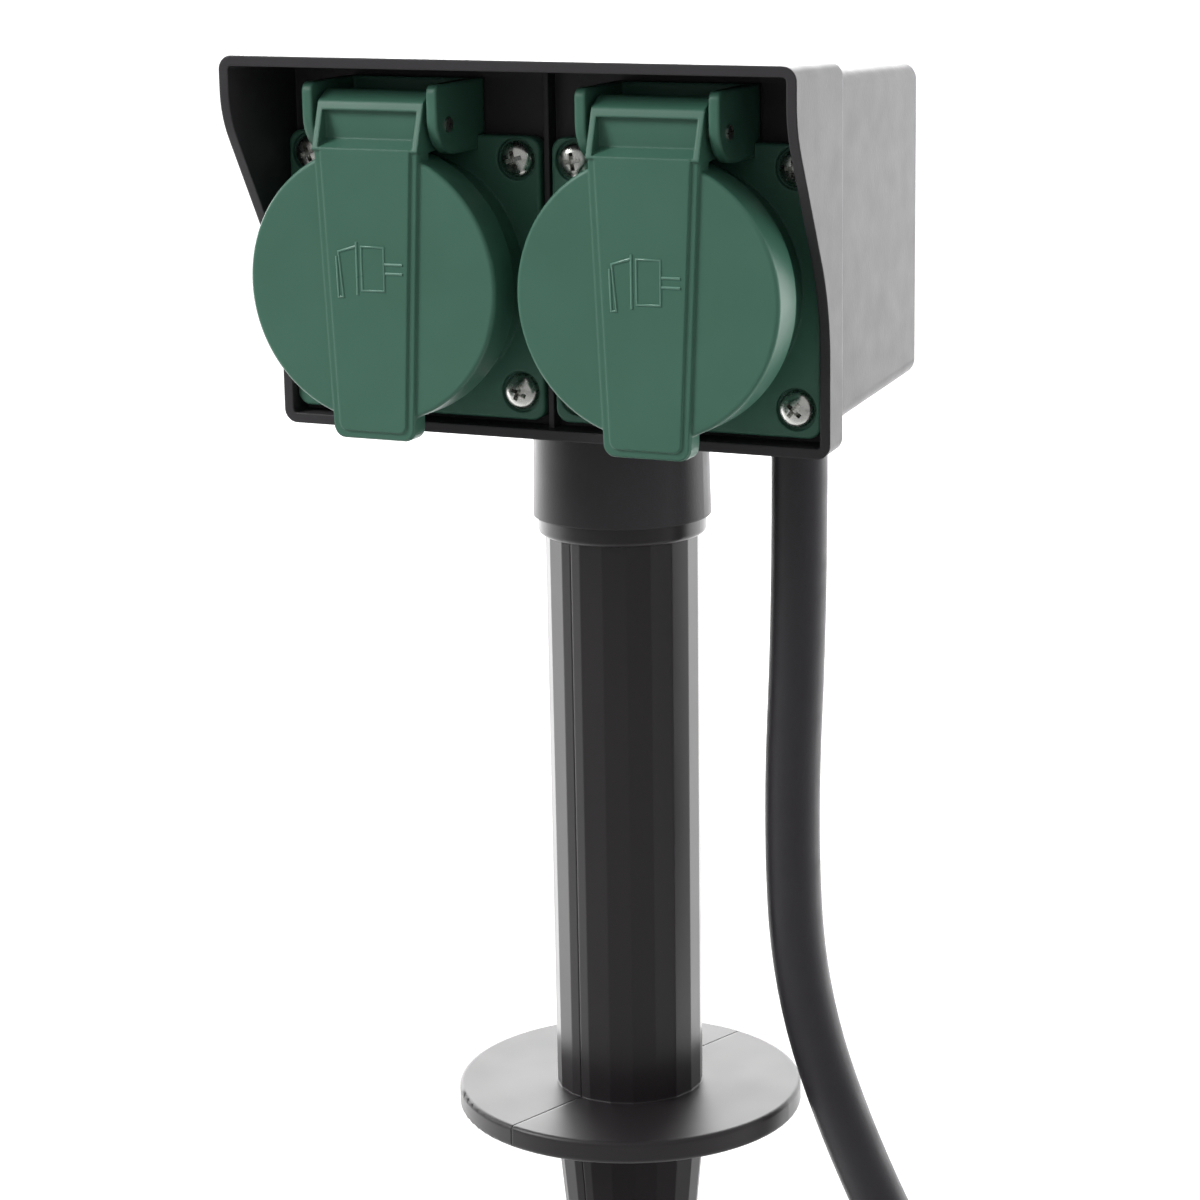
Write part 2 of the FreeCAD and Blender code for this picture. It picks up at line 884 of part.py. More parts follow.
def earth_clip_solid(grow):
    """The earth strap with its two springs and its terminal block, or the room for it behind the recess."""
    half = earth_width / 2 + grow
    outer = earth_spring_z + earth_thickness
    strap_back = carrier_front + earth_thickness + grow
    block_back = terminal_back + 5 * grow
    block_half = earth_block_half + grow
    shapes = [
        box(-half, half, carrier_front - grow, strap_back, -outer - grow, outer + grow),
        box(-half, half, carrier_front - grow, block_back, -block_half, block_half),
    ]
    if grow:
        return join(shapes)
    tip = recess_floor - earth_spring_reach
    for side in (-1, 1):
        z_out, z_in = side * outer, side * earth_spring_z
        bulge = side * earth_spring_bulge
        shapes.append(prism_x(
            [
                (carrier_front + earth_thickness, z_out, 0),
                (recess_floor - 2, z_out, 0),
                (tip + 3, z_out - bulge, 0),
                (tip, z_out - bulge / 3, 0),
                (tip, z_in - bulge / 3, 0),
                (tip + 3, z_in - bulge, 0),
                (recess_floor - 2, z_in, 0),
                (carrier_front + earth_thickness, z_in, 0),
            ],
            -half,
            half,
        ))
    cuts = [rod_y(0, 0, terminal_back - terminal_bore_depth, terminal_back + 1, terminal_screw_radius)]
    wire_low = earth_block_half - wire_hole_depth
    for y in (wire_supply_y, wire_earth_link_y):
        cuts.append(rod_z(0, y, wire_low, earth_block_half + 1, wire_radius))
    return join(shapes).cut(cuts)


def contact_carrier():
    body = rod_y(0, 0, carrier_front, carrier_back, carrier_radius)
    cuts = [placed_contact(side, True, contact_clearance) for side in (-1, 1)]
    cuts.append(earth_clip_solid(contact_clearance))
    wire_hole = wire_radius + wire_hole_room
    for side, link_y in ((-1, wire_line_link_y), (1, wire_neutral_link_y)):
        x = side * pin_pitch / 2
        for y in (wire_supply_y, link_y):
            cuts.append(rod_z(x, y, earth_block_half - 1, carrier_radius, wire_hole))
        hole_radius = terminal_screw_radius + carrier_screw_room
        cuts.append(rod_y(side * carrier_screw_x, carrier_screw_z, 0, carrier_back + 1, hole_radius))
    for y in (wire_supply_y, wire_earth_link_y):
        cuts.append(rod_z(0, y, earth_block_half - 1, carrier_radius, wire_hole))
    return body.cut(cuts)


def terminal_screws():
    made = screw(terminal_head_radius, terminal_head_height, terminal_screw_radius, terminal_screw_length)
    made.rotate(Vector(0, 0, 0), Vector(0, 0, 1), 180)
    placed = []
    for x in socket_xs.values():
        for dx, dz in ((-pin_pitch / 2, block_middle()), (pin_pitch / 2, block_middle()), (0, 0)):
            one = made.copy()
            one.translate(Vector(dx, terminal_back, dz))
            placed.append(at_socket(one, x))
    return placed


def carrier_screws():
    length = carrier_depth + cup_floor - carrier_screw_tip
    made = screw(terminal_head_radius, terminal_head_height, terminal_screw_radius, length)
    made.rotate(Vector(0, 0, 0), Vector(0, 0, 1), 180)
    placed = []
    for x in socket_xs.values():
        for side in (-1, 1):
            one = made.copy()
            one.translate(Vector(side * carrier_screw_x, carrier_back, carrier_screw_z))
            placed.append(at_socket(one, x))
    return placed


def strap_corners(inset):
    """The strap's outline seen from the front, as (x, z, rounding)."""
    return [
        (-strap_low_half + inset, strap_end + inset, strap_corner - inset / 2),
        (strap_low_half - inset, strap_end + inset, strap_corner - inset / 2),
        (strap_top_half - inset, strap_top, 0),
        (-strap_top_half + inset, strap_top, 0),
    ]


def lid():
    inner = lid_radius - lid_rim_wall
    disc = turned_y([
        (0, -lid_front, 0),
        (lid_radius, -lid_front, lid_edge),
        (lid_radius, -lid_rim_back, 0.3),
        (inner, -lid_rim_back, 0.3),
        (inner, -lid_front + lid_plate, 0),
        (0, -lid_front + lid_plate, 0),
    ])
    rim_face = -lid_front - strap_proud + strap_step
    strap = tapered_y(strap_corners(strap_draft), rim_face, strap_corners(0), -lid_front + 0.1)
    panel_foot, panel_face = strap_corners(strap_rim), strap_corners(strap_rim + strap_draft)
    panel = tapered_y(panel_face, rim_face - strap_step, panel_foot, rim_face + 0.1)
    base = prism_y(strap_corners(0), -lid_front, -lid_front + tab_thickness)
    base = base.cut(rod_y(0, 0, -lid_front + lid_plate, 0, inner))
    knuckle = prism_x(
        [
            (-knuckle_front_low, strap_top - 0.5, 0),
            (-knuckle_front_low, pocket_low, 0),
            (-knuckle_front_high, knuckle_shoulder, 1.0),
            (-axis_y, axis_z + knuckle_radius, 2.5),
            (-axis_y + knuckle_radius * 0.7, axis_z + knuckle_radius * 0.7, 2.5),
            (-axis_y + knuckle_radius, axis_z, 3.0),
            (-axis_y + knuckle_radius * 0.5, axis_z - knuckle_radius * 0.72, 1.5),
            (-lid_front + lid_plate, knuckle_low, 0),
            (-lid_front, knuckle_low, 0),
        ],
        -strap_top_half,
        strap_top_half,
    )
    pocket = prism_x(
        [
            (-knuckle_front_low - 2, pocket_low - 0.55, 0),
            (-pocket_back, pocket_shelf, 0),
            (-pocket_back, pocket_top, 0),
            (-knuckle_front_low - 2, pocket_top, 0),
        ],
        -pocket_half,
        pocket_half,
    )
    half, top = spring_room_half, axis_z + spring_room_rise
    spring_room = join([
        rod_x(-axis_y, axis_z, -half, half, spring_room_radius),
        box(-half, half, -axis_y, 0, axis_z - knuckle_radius, top),
    ])
    reach = strap_top_half + 1
    kept_wall = box(
        -reach,
        reach,
        -knuckle_front_low - 1,
        -pocket_back + spring_wall,
        knuckle_low - 1,
        axis_z + knuckle_radius + 1,
    )
    spring_room = spring_room.cut(kept_wall)
    bore = rod_x(-axis_y, axis_z, -reach, reach, hinge_pin_radius + hinge_clearance)
    return join([disc, strap, panel, base, knuckle.cut(spring_room)]).cut([pocket, bore])


def lid_seal():
    back = -lid_front + lid_plate + lid_seal_thickness
    return turned_y([
        (lid_seal_hole, -lid_front + lid_plate, 0),
        (lid_seal_radius, -lid_front + lid_plate, 0),
        (lid_seal_radius, back, 0.3),
        (lid_seal_hole, back, 0.3),
    ])


def hinge_pin():
    half = ear_inner + ear_thickness + 0.3
    return rod_x(-axis_y, axis_z, -half, half, hinge_pin_radius)


def lid_spring():
    """A torsion spring round the hinge pin. Its leg lies on the flange, its other end against the lid."""
    half = spring_turns * spring_pitch / 2
    rate = spring_pitch / (2 * math.pi)
    points, tangents = [], []
    for i in range(round(4 * spring_turns) + 1):
        angle = math.pi / 2 * i
        offset = Vector(0, math.cos(angle), math.sin(angle)) * spring_radius
        points.append(Vector(-half + rate * angle, -axis_y, axis_z) + offset)
        turning = Vector(0, -math.sin(angle), math.cos(angle)) * spring_radius
        tangents.append((Vector(rate, 0, 0) + turning).normalize())
    knee = points[0] - tangents[0] * spring_leg_knee
    foot_y = -axis_y + spring_leg_set_back
    foot_z = axis_z - spring_leg_drop
    leg = [
        Vector(knee.x, -spring_wire_radius, foot_z),
        Vector(knee.x, foot_y, foot_z),
        knee,
        points[0],
    ]
    edges = bent_edges(leg, spring_leg_bend) + biarcs(points, tangents)
    return pipe(edges, spring_wire_radius)


def whole_post():
    """Post, ground disc and spike in one, before they are parted along the seam."""
    top = neck_bore_top
    outside = facet_post([(disc_thickness / 2, post_foot_radius), (top, post_top_radius)])
    root = -spike_root_length
    spike = facet_post([(disc_thickness / 2, spike_root_radius), (root, spike_root_radius)])
    cone_part = facet_post([(root, spike_root_radius), (-spike_length, spike_tip_radius)])
    disc = turned_z([
        (0, 0, 0),
        (disc_radius, 0, disc_edge),
        (disc_radius, disc_thickness, disc_edge),
        (0, disc_thickness, 0),
    ])
    body = join([outside, spike, cone_part, disc])
    inner = post_foot_radius - post_wall
    room = [rod_z(0, 0, disc_thickness + 1, top - post_cap, inner)]
    deep = -spike_length + spike_solid_tip
    taper = (spike_root_radius - spike_tip_radius) / (spike_length - spike_root_length)
    deep_radius = spike_tip_radius + taper * spike_solid_tip - spike_wall
    room.append(cone((0, 0, root), (0, 0, deep), spike_root_radius - spike_wall, max(deep_radius, 0.5)))
    body = body.cut(room)
    webs = [rod_z(0, 0, z, z + web_thickness, inner + 0.5) for z in web_heights]
    body = join([body] + webs)
    return body


def half_space(side):
    """Everything on one side of the seam, side being -1 for the left and 1 for the right."""
    reach = disc_radius + 1
    half = box(seam_gap / 2, reach, -reach, reach, -spike_length - 1, neck_bore_top + 1)
    if side < 0:
        half = half.mirror(Vector(0, 0, 0), Vector(1, 0, 0))
    half.rotate(Vector(0, 0, 0), Vector(0, 0, 1), seam_azimuth)
    return half


def peg(z, along, radius, length, base):
    start = seam_along * along + Vector(0, 0, z) - seam_across * base
    end = start + seam_across * (base + length)
    return Part.makeCylinder(radius, (end - start).Length, start, end - start)


def post_shells():
    body = whole_post()
    left, right = body.common(half_space(-1)), body.common(half_space(1))
    spots = [(z + web_thickness / 2, along) for z in web_heights for along in (-peg_offset, peg_offset)]
    pegs = [peg(z, along, peg_radius, peg_length, 1.0) for z, along in spots]
    holes = [peg(z, along, peg_radius + peg_clearance, peg_length + 0.3, 2.0) for z, along in spots]
    left = join([left] + pegs)
    right = right.cut(holes)
    for side in (-1, 1):
        place = seam_across * (side * post_screw_offset)
        hole = rod_z(place.x, place.y, neck_bore_top - post_cap + 1, neck_bore_top + 1, post_screw_radius)
        left, right = left.cut(hole), right.cut(hole)
    return left, right


def post_screws():
    length = post_pad_height + post_cap - post_screw_tip_room
    made = screw(post_head_radius, post_head_height, post_screw_radius, length)
    made.rotate(Vector(0, 0, 0), Vector(1, 0, 0), -90)
    placed = []
    for side in (-1, 1):
        place = seam_across * (side * post_screw_offset)
        one = made.copy()
        one.translate(Vector(place.x, place.y, post_pad_top))
        placed.append(one)
    return placed


def post_ring():
    height = neck_end - ring_height
    rate = (post_top_radius - post_foot_radius) / (neck_bore_top - disc_thickness / 2)
    snug = post_foot_radius + rate * (neck_end - disc_thickness / 2) + ring_clearance
    return turned_z([
        (snug, height, 0),
        (ring_radius, height, ring_edge),
        (ring_radius, neck_end, 0),
        (snug, neck_end, 0),
    ])


def cable_gland():
    """The rubber sleeve in the housing's floor and clamp, tapered below the floor."""
    bore = cable_radius + gland_clearance
    floor_in = floor_top(cable_y) - gland_sunk
    low = floor_top(cable_y) - box_wall - gland_floor_room
    body = turned_z([
        (bore, gland_end, 0),
        (gland_tip_radius, gland_end, 0.4),
        (gland_root_radius, low - gland_flange, 0),
        (gland_flange_radius, low - gland_flange, 0),
        (gland_flange_radius, low, 0),
        (gland_groove_radius - gland_clearance, low, 0),
        (gland_groove_radius - gland_clearance, floor_in, 0),
        (gland_flange_radius, floor_in, 0),
        (gland_flange_radius, floor_in + gland_flange, 0),
        (gland_sleeve_radius, floor_in + gland_flange, 0),
        (gland_sleeve_radius, gland_top, 0.4),
        (bore, gland_top, 0),
    ])
    body.translate(Vector(cable_x, cable_y, 0))
    return body


def wires():
    """Line, neutral and earth, each as a supply wire to the right socket and a link to the left one."""
    xs_right, xs_left = socket_xs["right"], socket_xs["left"]
    top_pin = socket_height + terminal_high - wire_seat
    top_earth = socket_height + 1.6
    behind = flange_front + carrier_back + 8.5
    plan = {
        "line_wires": (-pin_pitch / 2, top_pin, wire_line_link_y, wire_line_level, (-2.0, 1.2)),
        "neutral_wires": (pin_pitch / 2, top_pin, wire_neutral_link_y, wire_neutral_level, (2.0, 1.2)),
        "earth_wires": (0.0, top_earth, wire_earth_link_y, wire_earth_level, (0.0, -2.2)),
    }
    made = {}
    for name, (dx, end, link, level, (sx, sy)) in plan.items():
        x, start_x, start_y = xs_right + dx, cable_x + sx, cable_y + sy
        supply_y, link_y = flange_front + wire_supply_y, flange_front + link
        supply = bent_wire(
            [
                (start_x, start_y, cable_inner_end),
                (start_x, start_y, cable_inner_end + 6),
                (x, behind + sy, wire_supply_level - 8),
                (x, behind + sy, wire_supply_level),
                (x, supply_y, wire_supply_level),
                (x, supply_y, end),
            ],
            wire_radius,
            wire_bend,
        )
        left_x = xs_left + dx
        across = bent_wire(
            [(x, link_y, end), (x, link_y, level), (left_x, link_y, level), (left_x, link_y, end)],
            wire_radius,
            wire_bend,
        )
        made[name] = [supply, across]
    return made


def report_tube(name, tube, length):
    filled = tube.Volume / (math.pi * cable_radius**2 * length)
    print(f"{name} length {length:.1f}, volume over section times length {filled:.4f}")


def cord():
    edges, radii = tangent_path(cord_points)
    tube = pipe(edges, cable_radius)
    length = sum(edge.Length for edge in edges)
    print("cord radii", [round(r) for r in radii])
    report_tube("cord", tube, length)
    return tube, length


def coil_place(turn):
    """The coil's centreline after a number of turns: in on the lower layer, up, then out on the upper one."""
    rise = coil_step
    inner = coil_outer_radius - coil_spiral_turns * coil_step
    if turn <= coil_spiral_turns:
        return coil_outer_radius - turn * coil_step, 0.0
    if turn <= coil_spiral_turns + coil_climb_turns:
        part = (turn - coil_spiral_turns) / coil_climb_turns
        inset = coil_climb_inset * math.sin(math.pi * part)
        return inner - inset, rise * (1 - math.cos(math.pi * part)) / 2
    out = turn - coil_spiral_turns - coil_climb_turns
    last = max(0.0, (out - coil_spiral_turns + 0.5) / 0.5)
    settle = (plug_face_radius - (lie_height - floor_level) - rise) * (1 - math.cos(math.pi * last)) / 2
    return inner + out * coil_step, rise + settle


def coil_centre():
    x, y, _ = cord_points[-1]
    return Vector(x - coil_outer_radius, y + 2 * cable_radius, lie_height)


def coil_point(turn):
    radius, height = coil_place(turn)
    angle = 2 * math.pi * turn
    return coil_centre() + Vector(radius * math.cos(angle), radius * math.sin(angle), height)


def coil_turns():
    return 2 * coil_spiral_turns + coil_climb_turns


def cord_coil():
    turns = coil_turns()
    count = round(turns * 4)
    points = [coil_point(i / 4) for i in range(count + 1)]
    small = 1e-4
    tangents = [
        (coil_point(min(i / 4 + small, turns)) - coil_point(max(i / 4 - small, 0))).normalize()
        for i in range(count + 1)
    ]
    tangents[0], tangents[-1] = Vector(0, 1, 0), Vector(0, -1, 0)
    start = Vector(*cord_points[-1])
    end = points[-1] + Vector(0, -coil_lead_out, 0)
    edges = [Part.LineSegment(start, points[0]).toShape()] + biarcs(points, tangents)
    edges.append(Part.LineSegment(points[-1], end).toShape())
    tube = pipe(edges, cable_radius)
    length = sum(edge.Length for edge in edges)
    samples = [(edge_point, along) for edge_point, along in spaced_points(edges, 4.0)]
    gap = min(
        (a - b).Length
        for i, (a, s) in enumerate(samples)
        for b, t in samples[i:]
        if t - s > 6 * cable_radius
    ) - 2 * cable_radius
    report_tube("coil", tube, length)
    print(f"coil's least gap to itself {gap:.2f}")
    return tube, length, end


def spaced_points(edges, step):
    """Points along edges with their distance from the start."""
    along = 0.0
    for edge in edges:
        count = max(2, math.ceil(edge.Length / step))
        for place in edge.discretize(Number=count + 1)[:-1]:
            yield place, along
            along += edge.Length / count


def coil_tie():
    """A strap round the bundle of turns."""
    turns = [coil_place(tie_azimuth / 360 + i) for i in range(math.ceil(coil_turns() - tie_azimuth / 360))]
    radii, heights = [r for r, _ in turns], [h for _, h in turns]
    rings = []
    for grow in (tie_clearance, tie_clearance + tie_thickness):
        away = cable_radius + grow
        corners = [
            (min(radii) - away, lie_height - away, away),
            (max(radii) + away, lie_height - away, away),
            (max(radii) + away, lie_height + max(heights) + away, away),
            (min(radii) - away, lie_height + max(heights) + away, away),
        ]
        rings.append(prism(corners, lambda a, b: Vector(a, -tie_width / 2, b), Vector(0, tie_width, 0)))
    strap = rings[1].cut(rings[0])
    strap.rotate(Vector(0, 0, 0), Vector(0, 0, 1), tie_azimuth)
    centre = coil_centre()
    strap.translate(Vector(centre.x, centre.y, 0))
    return strap


def plug_parts():
    """Relief, body, pins and earth strips along -Y, with the cable's end at the origin."""
    back = -plug_relief_length
    spigot_radius = plug_neck_radius - plug_spigot_inset
    relief = join([
        cone((0, 0, 0), (0, back, 0), plug_relief_tip, plug_neck_radius),
        rod((0, back, 0), (0, back - plug_spigot_length, 0), spigot_radius),
    ])
    face = back - plug_length
    shoulder = face + plug_face_thickness
    body = turned_y([
        (0, back, 0),
        (plug_neck_radius + plug_spigot_inset, back, 1.2),
        (plug_body_radius, back - plug_tail, plug_tail_rounding),
        (plug_body_radius, shoulder, 0.5),
        (plug_face_radius, shoulder, 0.8),
        (plug_face_radius, face, 0.8),
        (0, face, 0),
    ])
    cuts = [rod((0, back + 1, 0), (0, back - plug_spigot_length, 0), spigot_radius)]
    reach = plug_face_radius
    strip_reach = reach - plug_strip_set_in
    for side in (-1, 1):
        x0, x1 = sorted((side * (reach - plug_groove_depth), side * (reach + 2)))
        half = plug_groove_width / 2
        cuts.append(box(x0, x1, face - 1, shoulder + plug_groove_reach, -half, half))
        z0, z1 = sorted((side * (strip_reach - plug_strip_thickness), side * (reach + 2)))
        half = plug_strip_width / 2
        cuts.append(box(-half, half, face - 1, shoulder, z0, z1))
        x = side * pin_pitch / 2
        cuts.append(rod((x, face - 1, 0), (x, face + plug_pin_root, 0), plug_pin_root_radius))
    body = body.cut(cuts)
    pins = []
    for side in (-1, 1):
        x, tip = side * pin_pitch / 2, face - plug_pin_length
        pins.append(join([
            rod((x, face + plug_pin_root, 0), (x, face, 0), plug_pin_root_radius),
            rod((x, face, 0), (x, tip + plug_pin_tip, 0), pin_radius),
            cone((x, tip + plug_pin_tip, 0), (x, tip, 0), pin_radius, pin_radius - plug_pin_tip * 0.8),
        ]))
    strips = []
    for side in (-1, 1):
        z0, z1 = sorted((side * (strip_reach - plug_strip_thickness), side * strip_reach))
        half = plug_strip_width / 2
        strips.append(box(-half, half, face, shoulder, z0, z1))
    return relief, body, pins, strips


save("hood_frame", hood_frame())
save("rear_box", rear_box())
save("housing_gasket", gasket_ring(gasket_depth))
save("cord_clamp", cord_clamp())
save("clamp_screws", clamp_screws())
save("cable_gland", cable_gland())
save("cable_inner_end", rod_z(cable_x, cable_y, gland_end, cable_inner_end, cable_radius))
for name, pair in wires().items():
    save(name, pair)

for side, x in socket_xs.items():
    save("socket_body_" + side, at_socket(socket_body(), x))
    save("hinge_bracket_" + side, at_socket(hinge_bracket(), x))
    save("flange_seal_" + side, at_socket(flange_seal(), x))
    save("contact_carrier_" + side, at_socket(contact_carrier(), x))
    save("line_contact_" + side, at_socket(placed_contact(-1, False, 0), x))
    save("neutral_contact_" + side, at_socket(placed_contact(1, False, 0), x))
    save("earth_clip_" + side, at_socket(earth_clip_solid(0), x))
    save("lid_" + side, at_socket(lid(), x))
    save("lid_seal_" + side, at_socket(lid_seal(), x))
    save("hinge_pin_" + side, at_socket(hinge_pin(), x))
    save("lid_spring_" + side, at_socket(lid_spring(), x))
save("flange_screws", flange_screws())
save("terminal_screws", terminal_screws())
save("carrier_screws", carrier_screws())

shell_left, shell_right = post_shells()
save("post_shell_left", shell_left)
save("post_shell_right", shell_right)
save("post_screws", post_screws())
save("post_ring", post_ring())

cord_tube, cord_length = cord()
coil_tube, coil_length, cord_end = cord_coil()
save("power_cord", cord_tube)
save("cord_coil", coil_tube)
save("coil_tie", coil_tie())
print(f"free cable in all {cord_length + coil_length:.0f}")
plug_relief, plug_body, plug_pins, plug_strips = plug_parts()
for shape in [plug_relief, plug_body] + plug_pins + plug_strips:
    shape.translate(cord_end)
save("plug_relief", plug_relief)
save("plug_body", plug_body)
save("plug_pins", plug_pins)
save("plug_earth_strips", plug_strips)
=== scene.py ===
import math

import bmesh
import bpy
from mathutils import Matrix, Vector


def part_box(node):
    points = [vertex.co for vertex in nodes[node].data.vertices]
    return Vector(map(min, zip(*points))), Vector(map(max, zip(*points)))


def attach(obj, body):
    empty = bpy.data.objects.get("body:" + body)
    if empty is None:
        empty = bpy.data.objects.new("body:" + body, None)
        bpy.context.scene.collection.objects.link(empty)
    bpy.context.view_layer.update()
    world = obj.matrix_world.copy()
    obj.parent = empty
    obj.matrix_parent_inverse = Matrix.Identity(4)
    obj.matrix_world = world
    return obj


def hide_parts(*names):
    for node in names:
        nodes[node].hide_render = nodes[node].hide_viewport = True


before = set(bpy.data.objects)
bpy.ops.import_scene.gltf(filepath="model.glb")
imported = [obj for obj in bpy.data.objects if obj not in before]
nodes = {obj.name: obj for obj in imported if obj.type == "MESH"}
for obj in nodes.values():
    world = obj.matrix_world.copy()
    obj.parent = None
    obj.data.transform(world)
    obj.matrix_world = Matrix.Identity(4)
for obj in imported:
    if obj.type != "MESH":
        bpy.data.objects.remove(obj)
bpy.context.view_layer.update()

# Looks of a twin garden socket on a ground spike, in metres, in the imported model's frame.
MM = 0.001

# Camera, as the photograph shows the object
camera_place = Vector((0.2523, -0.5494, 0.2441))
camera_yaw = math.radians(25.085)
camera_pitch = math.radians(13.464)
camera_roll = math.radians(-0.903)
camera_lens = 99.61
sensor_width = 36.0
camera_reach = 50

# Cable: its thickness in metres, then the solids' route and the coil in millimetres
cable_diameter = 10.3 * MM
cord_points = (
    (34.6, 2.0, 131.0),
    (34.6, 2.0, 101.0),
    (32.6, 2.0, 60.0),
    (34.4, 2.0, 26.0),
    (45.6, 2.0, -5.0),
    (63.6, 2.0, -38.0),
    (75.0, 2.0, -78.0),
    (81.4, 11.6, -104.0),
    (86.0, 31.0, -123.8),
    (88.4, 57.0, -133.9),
    (88.4, 81.0, -133.9),
)
coil_outer_radius = 64.5
coil_turn_gap = 0.7
coil_spiral_turns = 1.5
coil_climb_turns = 0.5
coil_climb_inset = 1.6
coil_settle_turns = 0.5
coil_settle = 1.35
coil_lead_out = 20.0
coil_points_per_turn = 16

# Floor with a rounded sweep up to the wall behind it
floor_level = -0.140
floor_half_width = 6.0
wall_place = 3.0
wall_height = 5.0
sweep_radius = 1.0
sweep_steps = 12

# Paper: its colour, the level that the camera sees near the object and far from it, with the distances
# between which that changes, and the level that mirrored rays see from the camera's side to the far side
paper_colour = 0.45
near_glow, far_glow = 0.6, 1.0
glow_reach = (0.15, 0.9)
paper_mirrored = (0.0, 2.1)
paper_spread = (-0.35, 0.35)

# World: the least level for every ray, and what mirrored rays see from the camera's side to the far side
world_light = 0.5
sky_mirrored = (0.35, 1.0)
sky_spread = (-1.0, 1.0)

# Lamps: name, place, target, size, watts, and whether they show in mirrored rays
lamps = (
    ("key", (-1.25, -1.0, 1.2), (0.0, -0.02, 0.12), (0.7, 0.7), 33, True),
    ("back", (-0.62, 1.3, 0.5), (0.0, 0.0, 0.18), (1.3, 0.9), 17, True),
    ("rim_right", (0.65, 1.3, 0.1), (0.0, 0.0, 0.1), (1.4, 1.1), 8, True),
    ("rim_left", (-1.3, 0.65, 0.2), (0.0, 0.0, 0.1), (1.0, 1.2), 14, True),
    ("side", (1.4, 0.25, 0.15), (0.05, 0.0, 0.15), (0.9, 0.9), 13, False),
)

# Socket sizes that the small pieces follow
socket_centres = {"left": -26.12 * MM, "right": 26.12 * MM}
socket_height = 163.4 * MM
strap_face = -47.4 * MM
screw_pitch = 41.0 * MM
screw_rise = 0.5 * MM
screw_seat = -29.1 * MM
screw_head_radius = 3.2 * MM
screw_head_height = 2.2 * MM
screw_radius = 1.7 * MM
screw_length = 22.0 * MM
screw_point = 1.5 * MM
thread_start = 1.0 * MM
thread_pitch = 1.3 * MM
thread_turns = 15
thread_root = 0.78
turned_sides = 48
relief_radius = 0.27 * MM
relief_sunk = 0.06 * MM

# Ribs on the plug's grip: how far they keep from its front and back, their circle and the bare bands
rib_front, rib_back = 7 * MM, 17 * MM
rib_circle = 15.5 * MM
rib_half_width = 0.75 * MM
rib_places = 28
rib_bare_band = 0.24

# Loose end of the coil's tie: from where to where it lies across the coil, and how it lifts
tab_side_inset = 0.3 * MM
tab_start, tab_reach = 0.2, 0.62
tab_rise, tab_lift = 0.15 * MM, 1.3 * MM
tab_thickness = 0.5 * MM
tab_steps = 10


def make_camera():
    data = bpy.data.cameras.new("camera")
    data.lens, data.sensor_width = camera_lens, sensor_width
    data.clip_end = camera_reach
    camera = bpy.data.objects.new("camera", data)
    bpy.context.scene.collection.objects.link(camera)
    level, steep = math.cos(camera_pitch), math.sin(camera_pitch)
    ahead = Vector((-math.sin(camera_yaw) * level, math.cos(camera_yaw) * level, -steep))
    across = Vector((math.cos(camera_yaw), math.sin(camera_yaw), 0))
    up = across.cross(ahead)
    right = across * math.cos(camera_roll) + up * math.sin(camera_roll)
    top = up * math.cos(camera_roll) - across * math.sin(camera_roll)
    turned = Matrix((right, top, -ahead)).transposed().to_4x4()
    camera.matrix_world = Matrix.Translation(camera_place) @ turned
    bpy.context.scene.camera = camera


def coil_place(turn):
    """Radius and rise of the coil's centreline after a number of turns, in millimetres."""
    step = cable_diameter / MM + coil_turn_gap
    inner = coil_outer_radius - coil_spiral_turns * step
    if turn <= coil_spiral_turns:
        return coil_outer_radius - turn * step, 0.0
    if turn <= coil_spiral_turns + coil_climb_turns:
        part = (turn - coil_spiral_turns) / coil_climb_turns
        climbed = step * (1 - math.cos(math.pi * part)) / 2
        return inner - coil_climb_inset * math.sin(math.pi * part), climbed
    out = turn - coil_spiral_turns - coil_climb_turns
    last = max(0.0, (out - coil_spiral_turns + coil_settle_turns) / coil_settle_turns)
    return inner + out * step, step + coil_settle * (1 - math.cos(math.pi * last)) / 2


def coil_points():
    """The coil's turns, drawn out a little so that the smooth line runs along their middle."""
    x, y, z = cord_points[-1]
    centre = Vector((x - coil_outer_radius, y + cable_diameter / MM, z))
    turns = 2 * coil_spiral_turns + coil_climb_turns
    swell = 1 / math.cos(math.pi / coil_points_per_turn)
    points = [Vector((x, centre.y - 1, z))]
    for i in range(1, round(turns * coil_points_per_turn)):
        turn = i / coil_points_per_turn
        radius, rise = coil_place(turn)
        angle = 2 * math.pi * turn
        points.append(centre + Vector((radius * math.cos(angle), radius * math.sin(angle), 0)) * swell)
        points[-1].z = z + rise
    radius, rise = coil_place(turns)
    end = centre + Vector((-radius, 0, rise))
    points += [end + Vector((0, 1, 0)), end + Vector((0, -coil_lead_out, 0))]
    return points


def make_cord(material):
    """The supply cable as one smooth line, from the gland through the coil to the plug."""
    data = bpy.data.curves.new("rubber_cable", "CURVE")
    data.dimensions = "3D"
    data.bevel_depth = cable_diameter / 2
    data.bevel_resolution = 8
    data.resolution_u = 8
    data.use_fill_caps = True
    spline = data.splines.new("NURBS")
    points = [Vector(p) for p in cord_points] + coil_points()
    spline.points.add(len(points) - 1)
    for point, place in zip(spline.points, points):
        point.co = (*(place * MM), 1)
    spline.order_u = 3
    spline.use_endpoint_u = True
    data.materials.append(material)
    cord = bpy.data.objects.new("rubber_cable", data)
    bpy.context.scene.collection.objects.link(cord)
    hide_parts("power_cord", "cord_coil")
    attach(cord, "housing")
    return cord


